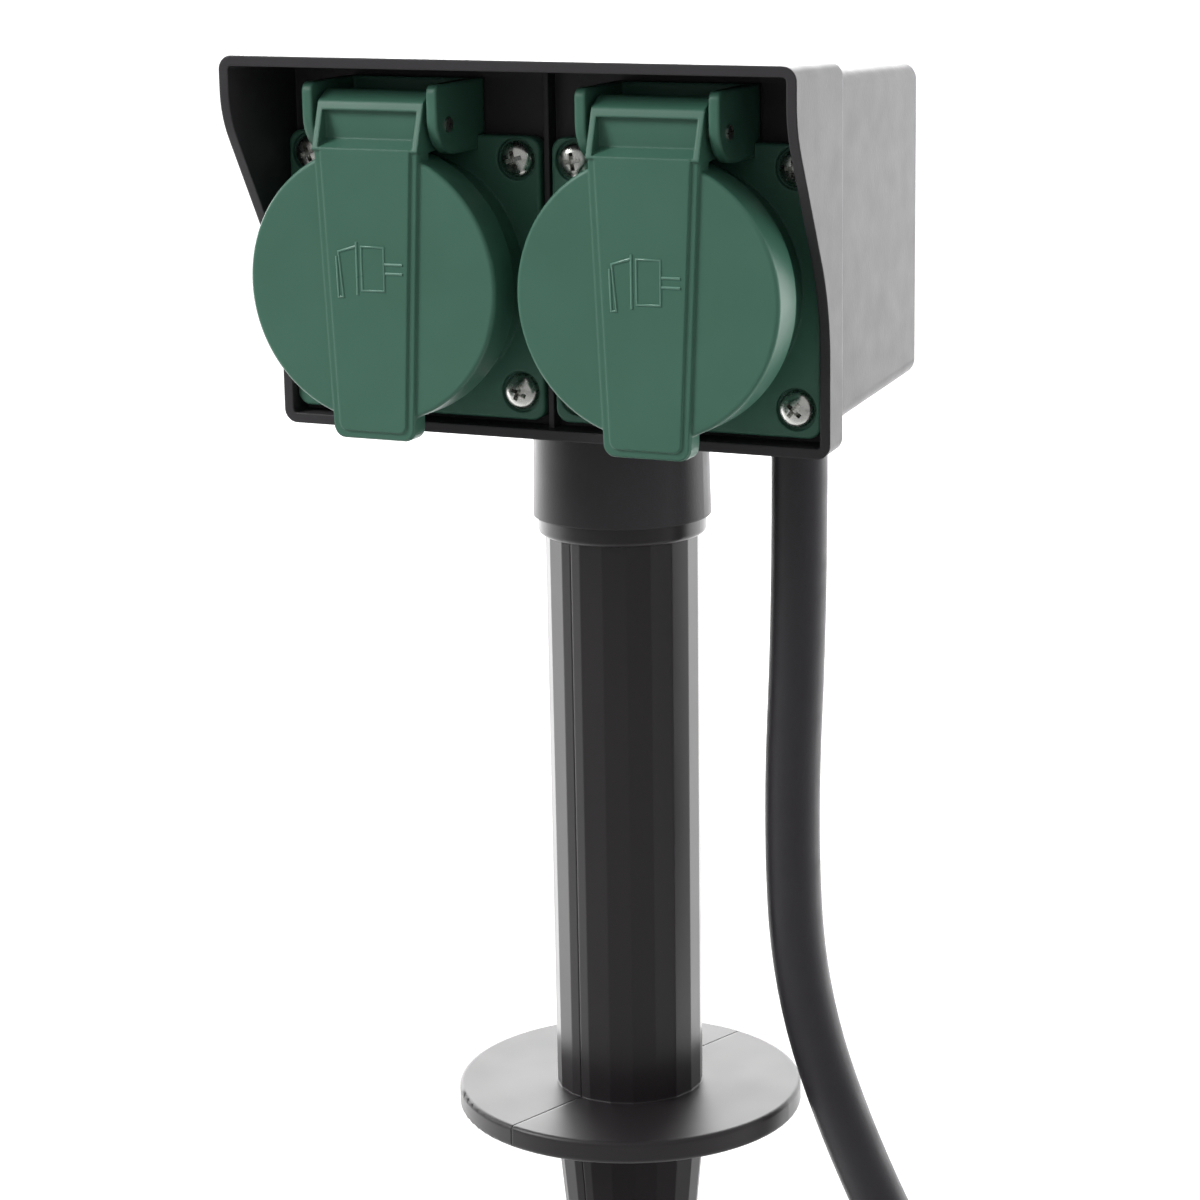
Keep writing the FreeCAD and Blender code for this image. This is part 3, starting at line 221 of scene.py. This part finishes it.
# Materials
class Shade:
    """A node material with the shader ready, and short ways to add what it needs."""

    def __init__(self, name, colour, roughness, metallic=0.0, **settings):
        self.material = bpy.data.materials.new(name)
        self.material.use_nodes = True
        self.tree = self.material.node_tree
        self.shader = self.tree.nodes["Principled BSDF"]
        self.shader.inputs["Base Color"].default_value = (*colour, 1)
        self.shader.inputs["Roughness"].default_value = roughness
        self.shader.inputs["Metallic"].default_value = metallic
        for key, value in settings.items():
            self.shader.inputs[key.replace("_", " ")].default_value = value
        self.colour, self.roughness = colour, roughness
        self.place = self.node("ShaderNodeTexCoord").outputs["Object"]
        self.normal = None

    def node(self, kind, **settings):
        made = self.tree.nodes.new(kind)
        for key, value in settings.items():
            setattr(made, key, value)
        return made

    def link(self, output, target):
        self.tree.links.new(output, target)

    def stretched(self, scale):
        mapping = self.node("ShaderNodeMapping")
        mapping.inputs["Scale"].default_value = scale
        self.link(self.place, mapping.inputs["Vector"])
        return mapping.outputs["Vector"]

    def noise(self, size, detail=3.0, stretch=None):
        """Noise with features of about size metres."""
        made = self.node("ShaderNodeTexNoise")
        made.inputs["Scale"].default_value = 1 / size
        made.inputs["Detail"].default_value = detail
        self.link(self.stretched(stretch) if stretch else self.place, made.inputs["Vector"])
        return made.outputs["Fac"]

    def cells(self, size):
        made = self.node("ShaderNodeTexVoronoi")
        made.inputs["Scale"].default_value = 1 / size
        self.link(self.place, made.inputs["Vector"])
        return made.outputs["Distance"]

    def spread(self, value, low, high, start=0.3, end=0.7):
        made = self.node("ShaderNodeMapRange")
        made.inputs["From Min"].default_value = start
        made.inputs["From Max"].default_value = end
        made.inputs["To Min"].default_value = low
        made.inputs["To Max"].default_value = high
        self.link(value, made.inputs["Value"])
        return made.outputs["Result"]

    def vary_roughness(self, size, amount):
        value = self.spread(self.noise(size), self.roughness - amount, self.roughness + amount)
        self.link(value, self.shader.inputs["Roughness"])

    def vary_colour(self, size, other, most=1.0):
        """The colour drifts towards another one, up to most of the way."""
        mix = self.node("ShaderNodeMix", data_type="RGBA")
        mix.inputs["A"].default_value = (*self.colour, 1)
        mix.inputs["B"].default_value = (*other, 1)
        self.link(self.spread(self.noise(size, 5.0), 0.0, most), mix.inputs["Factor"])
        self.link(mix.outputs["Result"], self.shader.inputs["Base Color"])
        return mix

    def round_edges(self, radius):
        """Highlights on sharp edges, as moulded or pressed edges have."""
        made = self.node("ShaderNodeBevel", samples=6)
        made.inputs["Radius"].default_value = radius
        self.normal = made.outputs["Normal"]
        self.link(self.normal, self.shader.inputs["Normal"])

    def bump(self, height, depth):
        made = self.node("ShaderNodeBump")
        made.inputs["Distance"].default_value = depth
        self.link(height, made.inputs["Height"])
        if self.normal:
            self.link(self.normal, made.inputs["Normal"])
        self.normal = made.outputs["Normal"]
        self.link(self.normal, self.shader.inputs["Normal"])


def housing_plastic():
    """Black polypropylene with a fine eroded grain."""
    shade = Shade("housing_plastic", (0.0355, 0.0335, 0.0362), 0.4, Specular_IOR_Level=0.2)
    shade.vary_colour(18 * MM, (0.0405, 0.0385, 0.0412), 0.6)
    shade.vary_roughness(5 * MM, 0.02)
    shade.round_edges(0.45 * MM)
    shade.bump(shade.noise(0.45 * MM, 2.0, stretch=(1.0, 1.0, 0.6)), 0.02 * MM)
    return shade.material


def post_plastic():
    """The post's black plastic, with faint flow lines along it, a duller ground disc and a dull spike."""
    disc_roughness, disc_top = 0.43, (4.4 * MM, 5.2 * MM)
    spike_shine, post_shine, spike_top = 0.12, 0.42, (-0.5 * MM, 0.5 * MM)
    shade = Shade("post_plastic", (0.0118, 0.0098, 0.0112), 0.3)
    shade.vary_colour(22 * MM, (0.0148, 0.0126, 0.0142), 0.6)
    height = shade.node("ShaderNodeSeparateXYZ")
    shade.link(shade.place, height.inputs[0])
    drift = shade.spread(shade.noise(14 * MM, 2.0), -0.02, 0.02)
    base = shade.spread(height.outputs["Z"], disc_roughness, shade.roughness, *disc_top)
    total = shade.node("ShaderNodeMath")
    shade.link(drift, total.inputs[0])
    shade.link(base, total.inputs[1])
    shade.link(total.outputs[0], shade.shader.inputs["Roughness"])
    shine = shade.spread(height.outputs["Z"], spike_shine, post_shine, *spike_top)
    shade.link(shine, shade.shader.inputs["Specular IOR Level"])
    shade.round_edges(0.5 * MM)
    shade.bump(shade.noise(4 * MM, 2.0, stretch=(1.0, 1.0, 0.1)), 0.0015 * MM)
    return shade.material


def green_relief_painted_highlight():
    """The lids' plastic where it is raised in thin lines, painted a little paler as a highlight along the
    ridges.
    """
    # The paler green is a painted highlight, standing in for light caught on the raised lines.
    shade = Shade("green_relief_painted_highlight", (0.085, 0.2, 0.15), 0.3, Specular_IOR_Level=0.5)
    shade.vary_roughness(2 * MM, 0.03)
    shade.bump(shade.noise(0.3 * MM, 2.0), 0.003 * MM)
    return shade.material


def green_plastic(name, edge):
    """Muted green plastic, satin, with slight sink and flow marks and rounded edges."""
    shade = Shade(name, (0.0455, 0.127, 0.089), 0.4, Specular_IOR_Level=0.3)
    shade.vary_colour(16 * MM, (0.0505, 0.138, 0.098), 0.8)
    shade.vary_roughness(7 * MM, 0.03)
    shade.round_edges(edge)
    shade.bump(shade.noise(12 * MM, 2.0), 0.035 * MM)
    shade.bump(shade.noise(0.25 * MM, 2.0), 0.004 * MM)
    return shade.material


def seal_rubber():
    shade = Shade("seal_rubber", (0.016, 0.016, 0.017), 0.62)
    shade.vary_colour(5 * MM, (0.032, 0.032, 0.033), 0.6)
    shade.round_edges(0.2 * MM)
    shade.bump(shade.noise(0.5 * MM, 4.0), 0.03 * MM)
    return shade.material


def cable_rubber():
    """Black rubber sheath with talc haze and a fine grain."""
    shade = Shade("cable_rubber", (0.0168, 0.015, 0.0182), 0.47, Specular_IOR_Level=0.4)
    shade.vary_colour(8 * MM, (0.0215, 0.0197, 0.0229), 0.7)
    shade.vary_roughness(6 * MM, 0.06)
    shade.bump(shade.noise(0.4 * MM, 4.0), 0.018 * MM)
    return shade.material


def plug_rubber():
    shade = Shade("plug_rubber", (0.016, 0.0155, 0.0165), 0.5, Specular_IOR_Level=0.5)
    shade.vary_colour(9 * MM, (0.028, 0.027, 0.029), 0.7)
    shade.round_edges(0.5 * MM)
    shade.bump(shade.noise(0.35 * MM, 3.0), 0.02 * MM)
    return shade.material


def carrier_plastic():
    """Off-white moulded plastic of the contact carriers."""
    shade = Shade("carrier_plastic", (0.55, 0.52, 0.44), 0.5)
    shade.vary_colour(6 * MM, (0.48, 0.45, 0.38), 0.8)
    shade.round_edges(0.2 * MM)
    shade.bump(shade.noise(0.4 * MM, 3.0), 0.01 * MM)
    return shade.material


def brass_sheet():
    shade = Shade("brass_sheet", (0.72, 0.52, 0.24), 0.3, metallic=1.0)
    shade.vary_colour(3 * MM, (0.5, 0.36, 0.18), 0.7)
    shade.vary_roughness(1.5 * MM, 0.1)
    shade.round_edges(0.1 * MM)
    shade.bump(shade.noise(0.3 * MM, 3.0, stretch=(1.0, 0.15, 1.0)), 0.008 * MM)
    return shade.material


def zinc_steel():
    """Zinc-plated screws: bright and mottled."""
    shade = Shade("zinc_steel", (0.62, 0.62, 0.59), 0.26, metallic=1.0)
    shade.vary_colour(1.6 * MM, (0.47, 0.48, 0.46), 0.7)
    shade.vary_roughness(1.2 * MM, 0.08)
    shade.bump(shade.noise(0.4 * MM, 3.0), 0.008 * MM)
    return shade.material


def pin_steel():
    shade = Shade("pin_steel", (0.56, 0.55, 0.53), 0.3, metallic=1.0)
    shade.vary_roughness(1.0 * MM, 0.08)
    shade.bump(shade.noise(0.3 * MM, 2.0, stretch=(0.1, 1.0, 1.0)), 0.006 * MM)
    return shade.material


def nickel_plate():
    shade = Shade("nickel_plate", (0.7, 0.67, 0.62), 0.16, metallic=1.0)
    shade.vary_colour(4 * MM, (0.6, 0.57, 0.52), 0.6)
    shade.vary_roughness(2 * MM, 0.05)
    shade.round_edges(0.15 * MM)
    shade.bump(shade.noise(0.4 * MM, 2.0, stretch=(1.0, 0.1, 1.0)), 0.004 * MM)
    return shade.material


def wire_plastic(name, colour, other):
    shade = Shade(name, colour, 0.4)
    shade.vary_colour(4 * MM, other, 0.8)
    shade.bump(shade.noise(0.5 * MM, 3.0), 0.01 * MM)
    return shade.material


def earth_plastic():
    """Green with yellow stripes that run along the wire."""
    shade = Shade("earth_plastic", (0.06, 0.24, 0.05), 0.4)
    mix = shade.vary_colour(4 * MM, (0.75, 0.6, 0.03))
    wave = shade.node("ShaderNodeTexWave", wave_type="BANDS", bands_direction="DIAGONAL")
    wave.inputs["Scale"].default_value = 0.2 / MM
    shade.link(shade.place, wave.inputs["Vector"])
    shade.link(shade.spread(wave.outputs["Fac"], 0.0, 1.0, 0.45, 0.55), mix.inputs["Factor"])
    return shade.material


def tie_fabric():
    """Black hook-and-loop strap with a short woven pile."""
    shade = Shade("tie_fabric", (0.02, 0.02, 0.021), 0.85, Sheen_Weight=0.3)
    shade.vary_colour(1.5 * MM, (0.045, 0.045, 0.047), 0.9)
    shade.bump(shade.cells(0.45 * MM), 0.12 * MM)
    return shade.material


def dress(material, *names):
    """Give CAD nodes a material of the scene's own, and leave their meshes as they are."""
    for name in names:
        slots = nodes[name].material_slots
        if not slots:
            nodes[name].data.materials.append(material)
        for slot in slots:
            slot.link = "OBJECT"
            slot.material = material


def smooth_mesh(name, made, material):
    data = bpy.data.meshes.new(name)
    made.to_mesh(data)
    made.free()
    for face in data.polygons:
        face.use_smooth = True
    data.materials.append(material)
    return data


def add_mesh(name, made, material, body):
    data = smooth_mesh(name, made, material)
    piece = bpy.data.objects.new(name, data)
    bpy.context.scene.collection.objects.link(piece)
    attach(piece, body)
    return piece


def join_into(made, part):
    """Add one bmesh to another, and free it."""
    moved = bpy.data.meshes.new("moved")
    part.to_mesh(moved)
    part.free()
    made.from_mesh(moved)
    bpy.data.meshes.remove(moved)


def skin(made, rows):
    """Faces between rows of two points each."""
    for a, b in zip(rows, rows[1:]):
        made.faces.new((a[0], a[1], b[1], b[0]))


def turned(profile):
    """A mesh turned about the Y axis from (radius, y) points."""
    made = bmesh.new()
    rings = []
    for radius, y in profile:
        if radius == 0:
            rings.append([made.verts.new((0, y, 0))])
            continue
        rings.append([
            made.verts.new((radius * math.cos(a), y, radius * math.sin(a)))
            for a in (2 * math.pi * i / turned_sides for i in range(turned_sides))
        ])
    for low, high in zip(rings, rings[1:]):
        for i in range(turned_sides):
            j = (i + 1) % turned_sides
            corners = [low[i % len(low)], low[j % len(low)], high[j % len(high)], high[i % len(high)]]
            unique = list(dict.fromkeys(corners))
            if len(unique) > 2:
                made.faces.new(unique)
    bmesh.ops.recalc_face_normals(made, faces=made.faces)
    return made


def cross_recess():
    """The tapered cross that a driver leaves room for in a screw's head."""
    made = bmesh.new()
    wide, narrow, deep = 1.9 * MM, 0.75 * MM, 1.5 * MM
    arm_top, arm_low = 0.42 * MM, 0.3 * MM
    top, low = -0.4 * MM, deep
    for turn in (0, 90):
        ends = []
        for reach, half, y in ((wide, arm_top, top), (narrow, arm_low, low)):
            corners = ((-reach, -half), (reach, -half), (reach, half), (-reach, half))
            ends.append([made.verts.new((x, y, z)) for x, z in corners])
        made.faces.new(ends[0])
        made.faces.new(ends[1][::-1])
        for i in range(4):
            j = (i + 1) % 4
            made.faces.new((ends[0][j], ends[0][i], ends[1][i], ends[1][j]))
        if turn == 0:
            quarter = Matrix.Rotation(math.pi / 2, 3, "Y")
            bmesh.ops.rotate(made, verts=list(made.verts), cent=(0, 0, 0), matrix=quarter)
    bmesh.ops.recalc_face_normals(made, faces=made.faces)
    return made


def screw_mesh():
    """A pan-head screw along +Y with its head's underside at y = 0, and a tapered cross in its head."""
    dome = [(0, -screw_head_height)]
    dome_steps, dome_side, dome_top, point_root = 12, 0.75, 0.8, 0.7
    for i in range(1, dome_steps + 1):
        angle = math.radians(90 / dome_steps * i)
        radius = screw_head_radius * math.sin(angle) ** dome_side
        dome.append((radius, -screw_head_height * math.cos(angle) ** dome_top))
    thread = [(screw_radius, 0.0)]
    for i in range(thread_turns):
        y = thread_start + i * thread_pitch
        thread += [(screw_radius * thread_root, y), (screw_radius, y + thread_pitch / 2)]
    thread += [(screw_radius * point_root, screw_length - screw_point), (0, screw_length)]
    head = turned(dome + thread)
    data = bpy.data.meshes.new("screw_blank")
    head.to_mesh(data)
    head.free()
    cutter_data = bpy.data.meshes.new("cross_recess")
    cutter = cross_recess()
    bmesh.ops.translate(cutter, verts=cutter.verts, vec=(0, -screw_head_height, 0))
    cutter.to_mesh(cutter_data)
    cutter.free()
    blank = bpy.data.objects.new("screw_blank", data)
    tool = bpy.data.objects.new("cross_recess", cutter_data)
    for piece in (blank, tool):
        bpy.context.scene.collection.objects.link(piece)
    cut = blank.modifiers.new("cut", "BOOLEAN")
    cut.operation, cut.object, cut.use_self = "DIFFERENCE", tool, True
    graph = bpy.context.evaluated_depsgraph_get()
    finished = bpy.data.meshes.new_from_object(blank.evaluated_get(graph))
    for piece in (blank, tool):
        bpy.data.objects.remove(piece)
    return finished


def make_flange_screws(material):
    blank = screw_mesh()
    made = bmesh.new()
    first_turn, next_turn, sharp = 17, 49, math.radians(35)
    places = [
        (x + side * screw_pitch / 2, socket_height + screw_rise + level * screw_pitch / 2)
        for x in socket_centres.values()
        for side in (-1, 1)
        for level in (-1, 1)
    ]
    for i, (x, z) in enumerate(places):
        one = bmesh.new()
        one.from_mesh(blank)
        turn = Matrix.Rotation(math.radians(first_turn + next_turn * i), 4, "Y")
        one.transform(Matrix.Translation((x, screw_seat, z)) @ turn)
        join_into(made, one)
    screws = add_mesh("pan_head_screws", made, material, "housing")
    screws.data.set_sharp_from_angle(angle=sharp)
    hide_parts("flange_screws")


def make_lid_relief(side, material):
    """A plain raised outline of a plug and an open lid on the strap, its corners in millimetres."""
    lines = (
        (((-1.2, -0.6), (3.2, -0.6), (3.2, 7.0), (-1.2, 7.0)), True),
        (((-2.1, -1.4), (-2.1, 7.8)), False),
        (((3.4, 4.1), (6.8, 4.1)), False),
        (((3.4, 2.5), (6.8, 2.5)), False),
        (((-2.3, 7.0), (-5.7, 6.0), (-4.9, -1.9), (-5.9, -1.9), (-6.1, 5.2)), False),
    )
    data = bpy.data.curves.new(f"lid_relief_{side}", "CURVE")
    data.dimensions = "3D"
    data.bevel_depth, data.bevel_resolution = relief_radius, 3
    data.use_fill_caps = True
    for corners, closed in lines:
        spline = data.splines.new("POLY")
        spline.points.add(len(corners) - 1)
        spline.use_cyclic_u = closed
        for point, (x, z) in zip(spline.points, corners):
            place = (socket_centres[side] + x * MM, strap_face + relief_sunk, socket_height + z * MM)
            point.co = (*place, 1)
    data.materials.append(material)
    relief = bpy.data.objects.new(f"lid_relief_{side}", data)
    bpy.context.scene.collection.objects.link(relief)
    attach(relief, f"{side}_lid")


def make_plug(material):
    """Ribs along the plug's body, for the grip, all round but for a band on either side."""
    low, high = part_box("plug_body")
    front, back = low.y + rib_front, high.y - rib_back
    centre = Vector(((low.x + high.x) / 2, (front + back) / 2, (low.z + high.z) / 2))
    size = Matrix.Diagonal((rib_half_width, (back - front) / 2, rib_half_width, 1))
    made = bmesh.new()
    for i in range(rib_places):
        angle = 2 * math.pi * i / rib_places
        if abs(math.sin(angle)) < rib_bare_band:
            continue
        rib = bmesh.new()
        bmesh.ops.create_uvsphere(rib, u_segments=10, v_segments=12, radius=1.0)
        place = centre + Vector((math.cos(angle), 0, math.sin(angle))) * rib_circle
        rib.transform(Matrix.Translation(place) @ size)
        join_into(made, rib)
    return add_mesh("plug_grip_ribs", made, material, "housing")


def make_tie_tab(material):
    """The strap's loose end on top of the coil."""
    low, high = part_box("coil_tie")
    made = bmesh.new()
    half = (high.x - low.x) / 2 - tab_side_inset
    middle = (low.x + high.x) / 2
    rows = []
    for i in range(tab_steps + 1):
        part = i / tab_steps
        y = low.y + (tab_start + tab_reach * part) * (high.y - low.y)
        lift = tab_rise + tab_lift * part**3
        rows.append([made.verts.new((middle + s * half, y, high.z + lift)) for s in (-1, 1)])
    skin(made, rows)
    tab = add_mesh("tie_tab", made, material, "housing")
    thick = tab.modifiers.new("thick", "SOLIDIFY")
    thick.thickness, thick.offset = tab_thickness, 0
    return tab


# Studio
def math_node(tree, operation, first, second):
    """The result of an operation on two values, each a number or another node's output."""
    made = tree.nodes.new("ShaderNodeMath")
    made.operation = operation
    for value, target in zip((first, second), made.inputs):
        if isinstance(value, float):
            target.default_value = value
        else:
            tree.links.new(value, target)
    return made.outputs[0]


def smooth_rise(tree, value, ends, levels):
    rise = tree.nodes.new("ShaderNodeMapRange")
    rise.interpolation_type = "SMOOTHSTEP"
    for key, number in zip(("From Min", "From Max", "To Min", "To Max"), (*ends, *levels)):
        rise.inputs[key].default_value = number
    tree.links.new(value, rise.inputs["Value"])
    return rise.outputs["Result"]


def front_to_back(tree, place, ends, levels):
    """A level that rises smoothly from the camera's side to the far side."""
    along = tree.nodes.new("ShaderNodeVectorMath")
    along.operation = "DOT_PRODUCT"
    tree.links.new(tree.nodes.new("ShaderNodeTexCoord").outputs[place], along.inputs[0])
    along.inputs[1].default_value = (-math.sin(camera_yaw), math.cos(camera_yaw), 0)
    return smooth_rise(tree, along.outputs["Value"], ends, levels)


def seen_strength(tree, looked_at, mirrored):
    """One level for what the camera sees, and one for mirrored rays and rays through glass."""
    rays = tree.nodes.new("ShaderNodeLightPath").outputs
    bounced = math_node(tree, "MAXIMUM", rays["Is Glossy Ray"], rays["Is Transmission Ray"])
    direct = math_node(tree, "MULTIPLY", rays["Is Camera Ray"], looked_at)
    return math_node(tree, "ADD", direct, math_node(tree, "MULTIPLY", bounced, mirrored))


def studio_paper():
    """Paper that is seen as white, least so round the object, where its shadow lies."""
    material = bpy.data.materials.new("studio_paper")
    material.use_nodes = True
    tree = material.node_tree
    tree.nodes.clear()
    output = tree.nodes.new("ShaderNodeOutputMaterial")
    diffuse = tree.nodes.new("ShaderNodeBsdfDiffuse")
    diffuse.inputs["Color"].default_value = (paper_colour, paper_colour, paper_colour, 1)
    distance = tree.nodes.new("ShaderNodeVectorMath")
    distance.operation = "LENGTH"
    tree.links.new(tree.nodes.new("ShaderNodeTexCoord").outputs["Object"], distance.inputs[0])
    looked_at = smooth_rise(tree, distance.outputs["Value"], glow_reach, (near_glow, far_glow))
    mirrored = front_to_back(tree, "Object", paper_spread, paper_mirrored)
    light = tree.nodes.new("ShaderNodeEmission")
    tree.links.new(seen_strength(tree, looked_at, mirrored), light.inputs["Strength"])
    both = tree.nodes.new("ShaderNodeAddShader")
    tree.links.new(diffuse.outputs[0], both.inputs[0])
    tree.links.new(light.outputs[0], both.inputs[1])
    tree.links.new(both.outputs[0], output.inputs["Surface"])
    return material


def make_floor():
    made = bmesh.new()
    bend = wall_place - sweep_radius
    profile = [(-floor_half_width, 0.0), (bend, 0.0)]
    for i in range(1, sweep_steps + 1):
        angle = math.pi / 2 * i / sweep_steps
        profile.append((bend + sweep_radius * math.sin(angle), sweep_radius * (1 - math.cos(angle))))
    profile.append((wall_place, wall_height))
    across = (-floor_half_width, floor_half_width)
    skin(made, [[made.verts.new((x, y, floor_level + z)) for x in across] for y, z in profile])
    floor = bpy.data.objects.new("floor", smooth_mesh("floor", made, studio_paper()))
    bpy.context.scene.collection.objects.link(floor)


def make_lamp(name, place, target, size, power, mirrored):
    data = bpy.data.lights.new(name, "AREA")
    data.shape = "RECTANGLE"
    data.size, data.size_y = size
    data.energy = power
    lamp = bpy.data.objects.new(name, data)
    bpy.context.scene.collection.objects.link(lamp)
    lamp.location = place
    lamp.rotation_euler = (Vector(target) - Vector(place)).to_track_quat("-Z", "Y").to_euler()
    lamp.visible_camera = False
    lamp.visible_glossy = mirrored


def make_world():
    world = bpy.data.worlds.new("studio")
    bpy.context.scene.world = world
    world.use_nodes = True
    tree = world.node_tree
    background = tree.nodes["Background"]
    background.inputs["Color"].default_value = (1, 1, 1, 1)
    mirrored = front_to_back(tree, "Generated", sky_spread, sky_mirrored)
    seen = seen_strength(tree, far_glow, mirrored)
    strength = math_node(tree, "MAXIMUM", seen, world_light)
    tree.links.new(strength, background.inputs["Strength"])


bpy.context.scene.view_settings.view_transform = "Standard"
make_camera()
cable_look = cable_rubber()
cord = make_cord(cable_look)
plug_look = plug_rubber()
ribs = make_plug(plug_look)
tie_look = tie_fabric()
tab = make_tie_tab(tie_look)

green_look = green_plastic("green_plastic", 0.55 * MM)
bracket_look = green_plastic("green_bracket", 1.0 * MM)
# The lids' relief lines get a paler green, a painted highlight on the ridges.
relief_highlight_look, seal_look, carrier_look = green_relief_painted_highlight(), seal_rubber(), carrier_plastic()
brass_look, zinc_look, pin_look = brass_sheet(), zinc_steel(), pin_steel()
dress(housing_plastic(), "hood_frame", "rear_box", "cord_clamp")
dress(post_plastic(), "post_shell_left", "post_shell_right", "post_ring")
dress(seal_look, "housing_gasket", "cable_gland")
dress(plug_look, "plug_body", "plug_relief")
dress(cable_look, "cable_inner_end")
dress(tie_look, "coil_tie")
dress(nickel_plate(), "plug_pins", "plug_earth_strips")
dress(wire_plastic("brown_plastic", (0.12, 0.05, 0.02), (0.09, 0.035, 0.015)), "line_wires")
dress(wire_plastic("blue_plastic", (0.02, 0.07, 0.3), (0.015, 0.05, 0.24)), "neutral_wires")
dress(earth_plastic(), "earth_wires")
for side in socket_centres:
    dress(green_look, f"socket_body_{side}", f"lid_{side}")
    dress(bracket_look, f"hinge_bracket_{side}")
    dress(seal_look, f"flange_seal_{side}", f"lid_seal_{side}")
    dress(carrier_look, f"contact_carrier_{side}")
    dress(brass_look, f"line_contact_{side}", f"neutral_contact_{side}", f"earth_clip_{side}")
    dress(pin_look, f"hinge_pin_{side}", f"lid_spring_{side}")
    make_lid_relief(side, relief_highlight_look)
dress(zinc_look, "clamp_screws", "terminal_screws", "carrier_screws", "post_screws")
make_flange_screws(zinc_look)

make_floor()
make_world()
for lamp in lamps:
    make_lamp(*lamp)
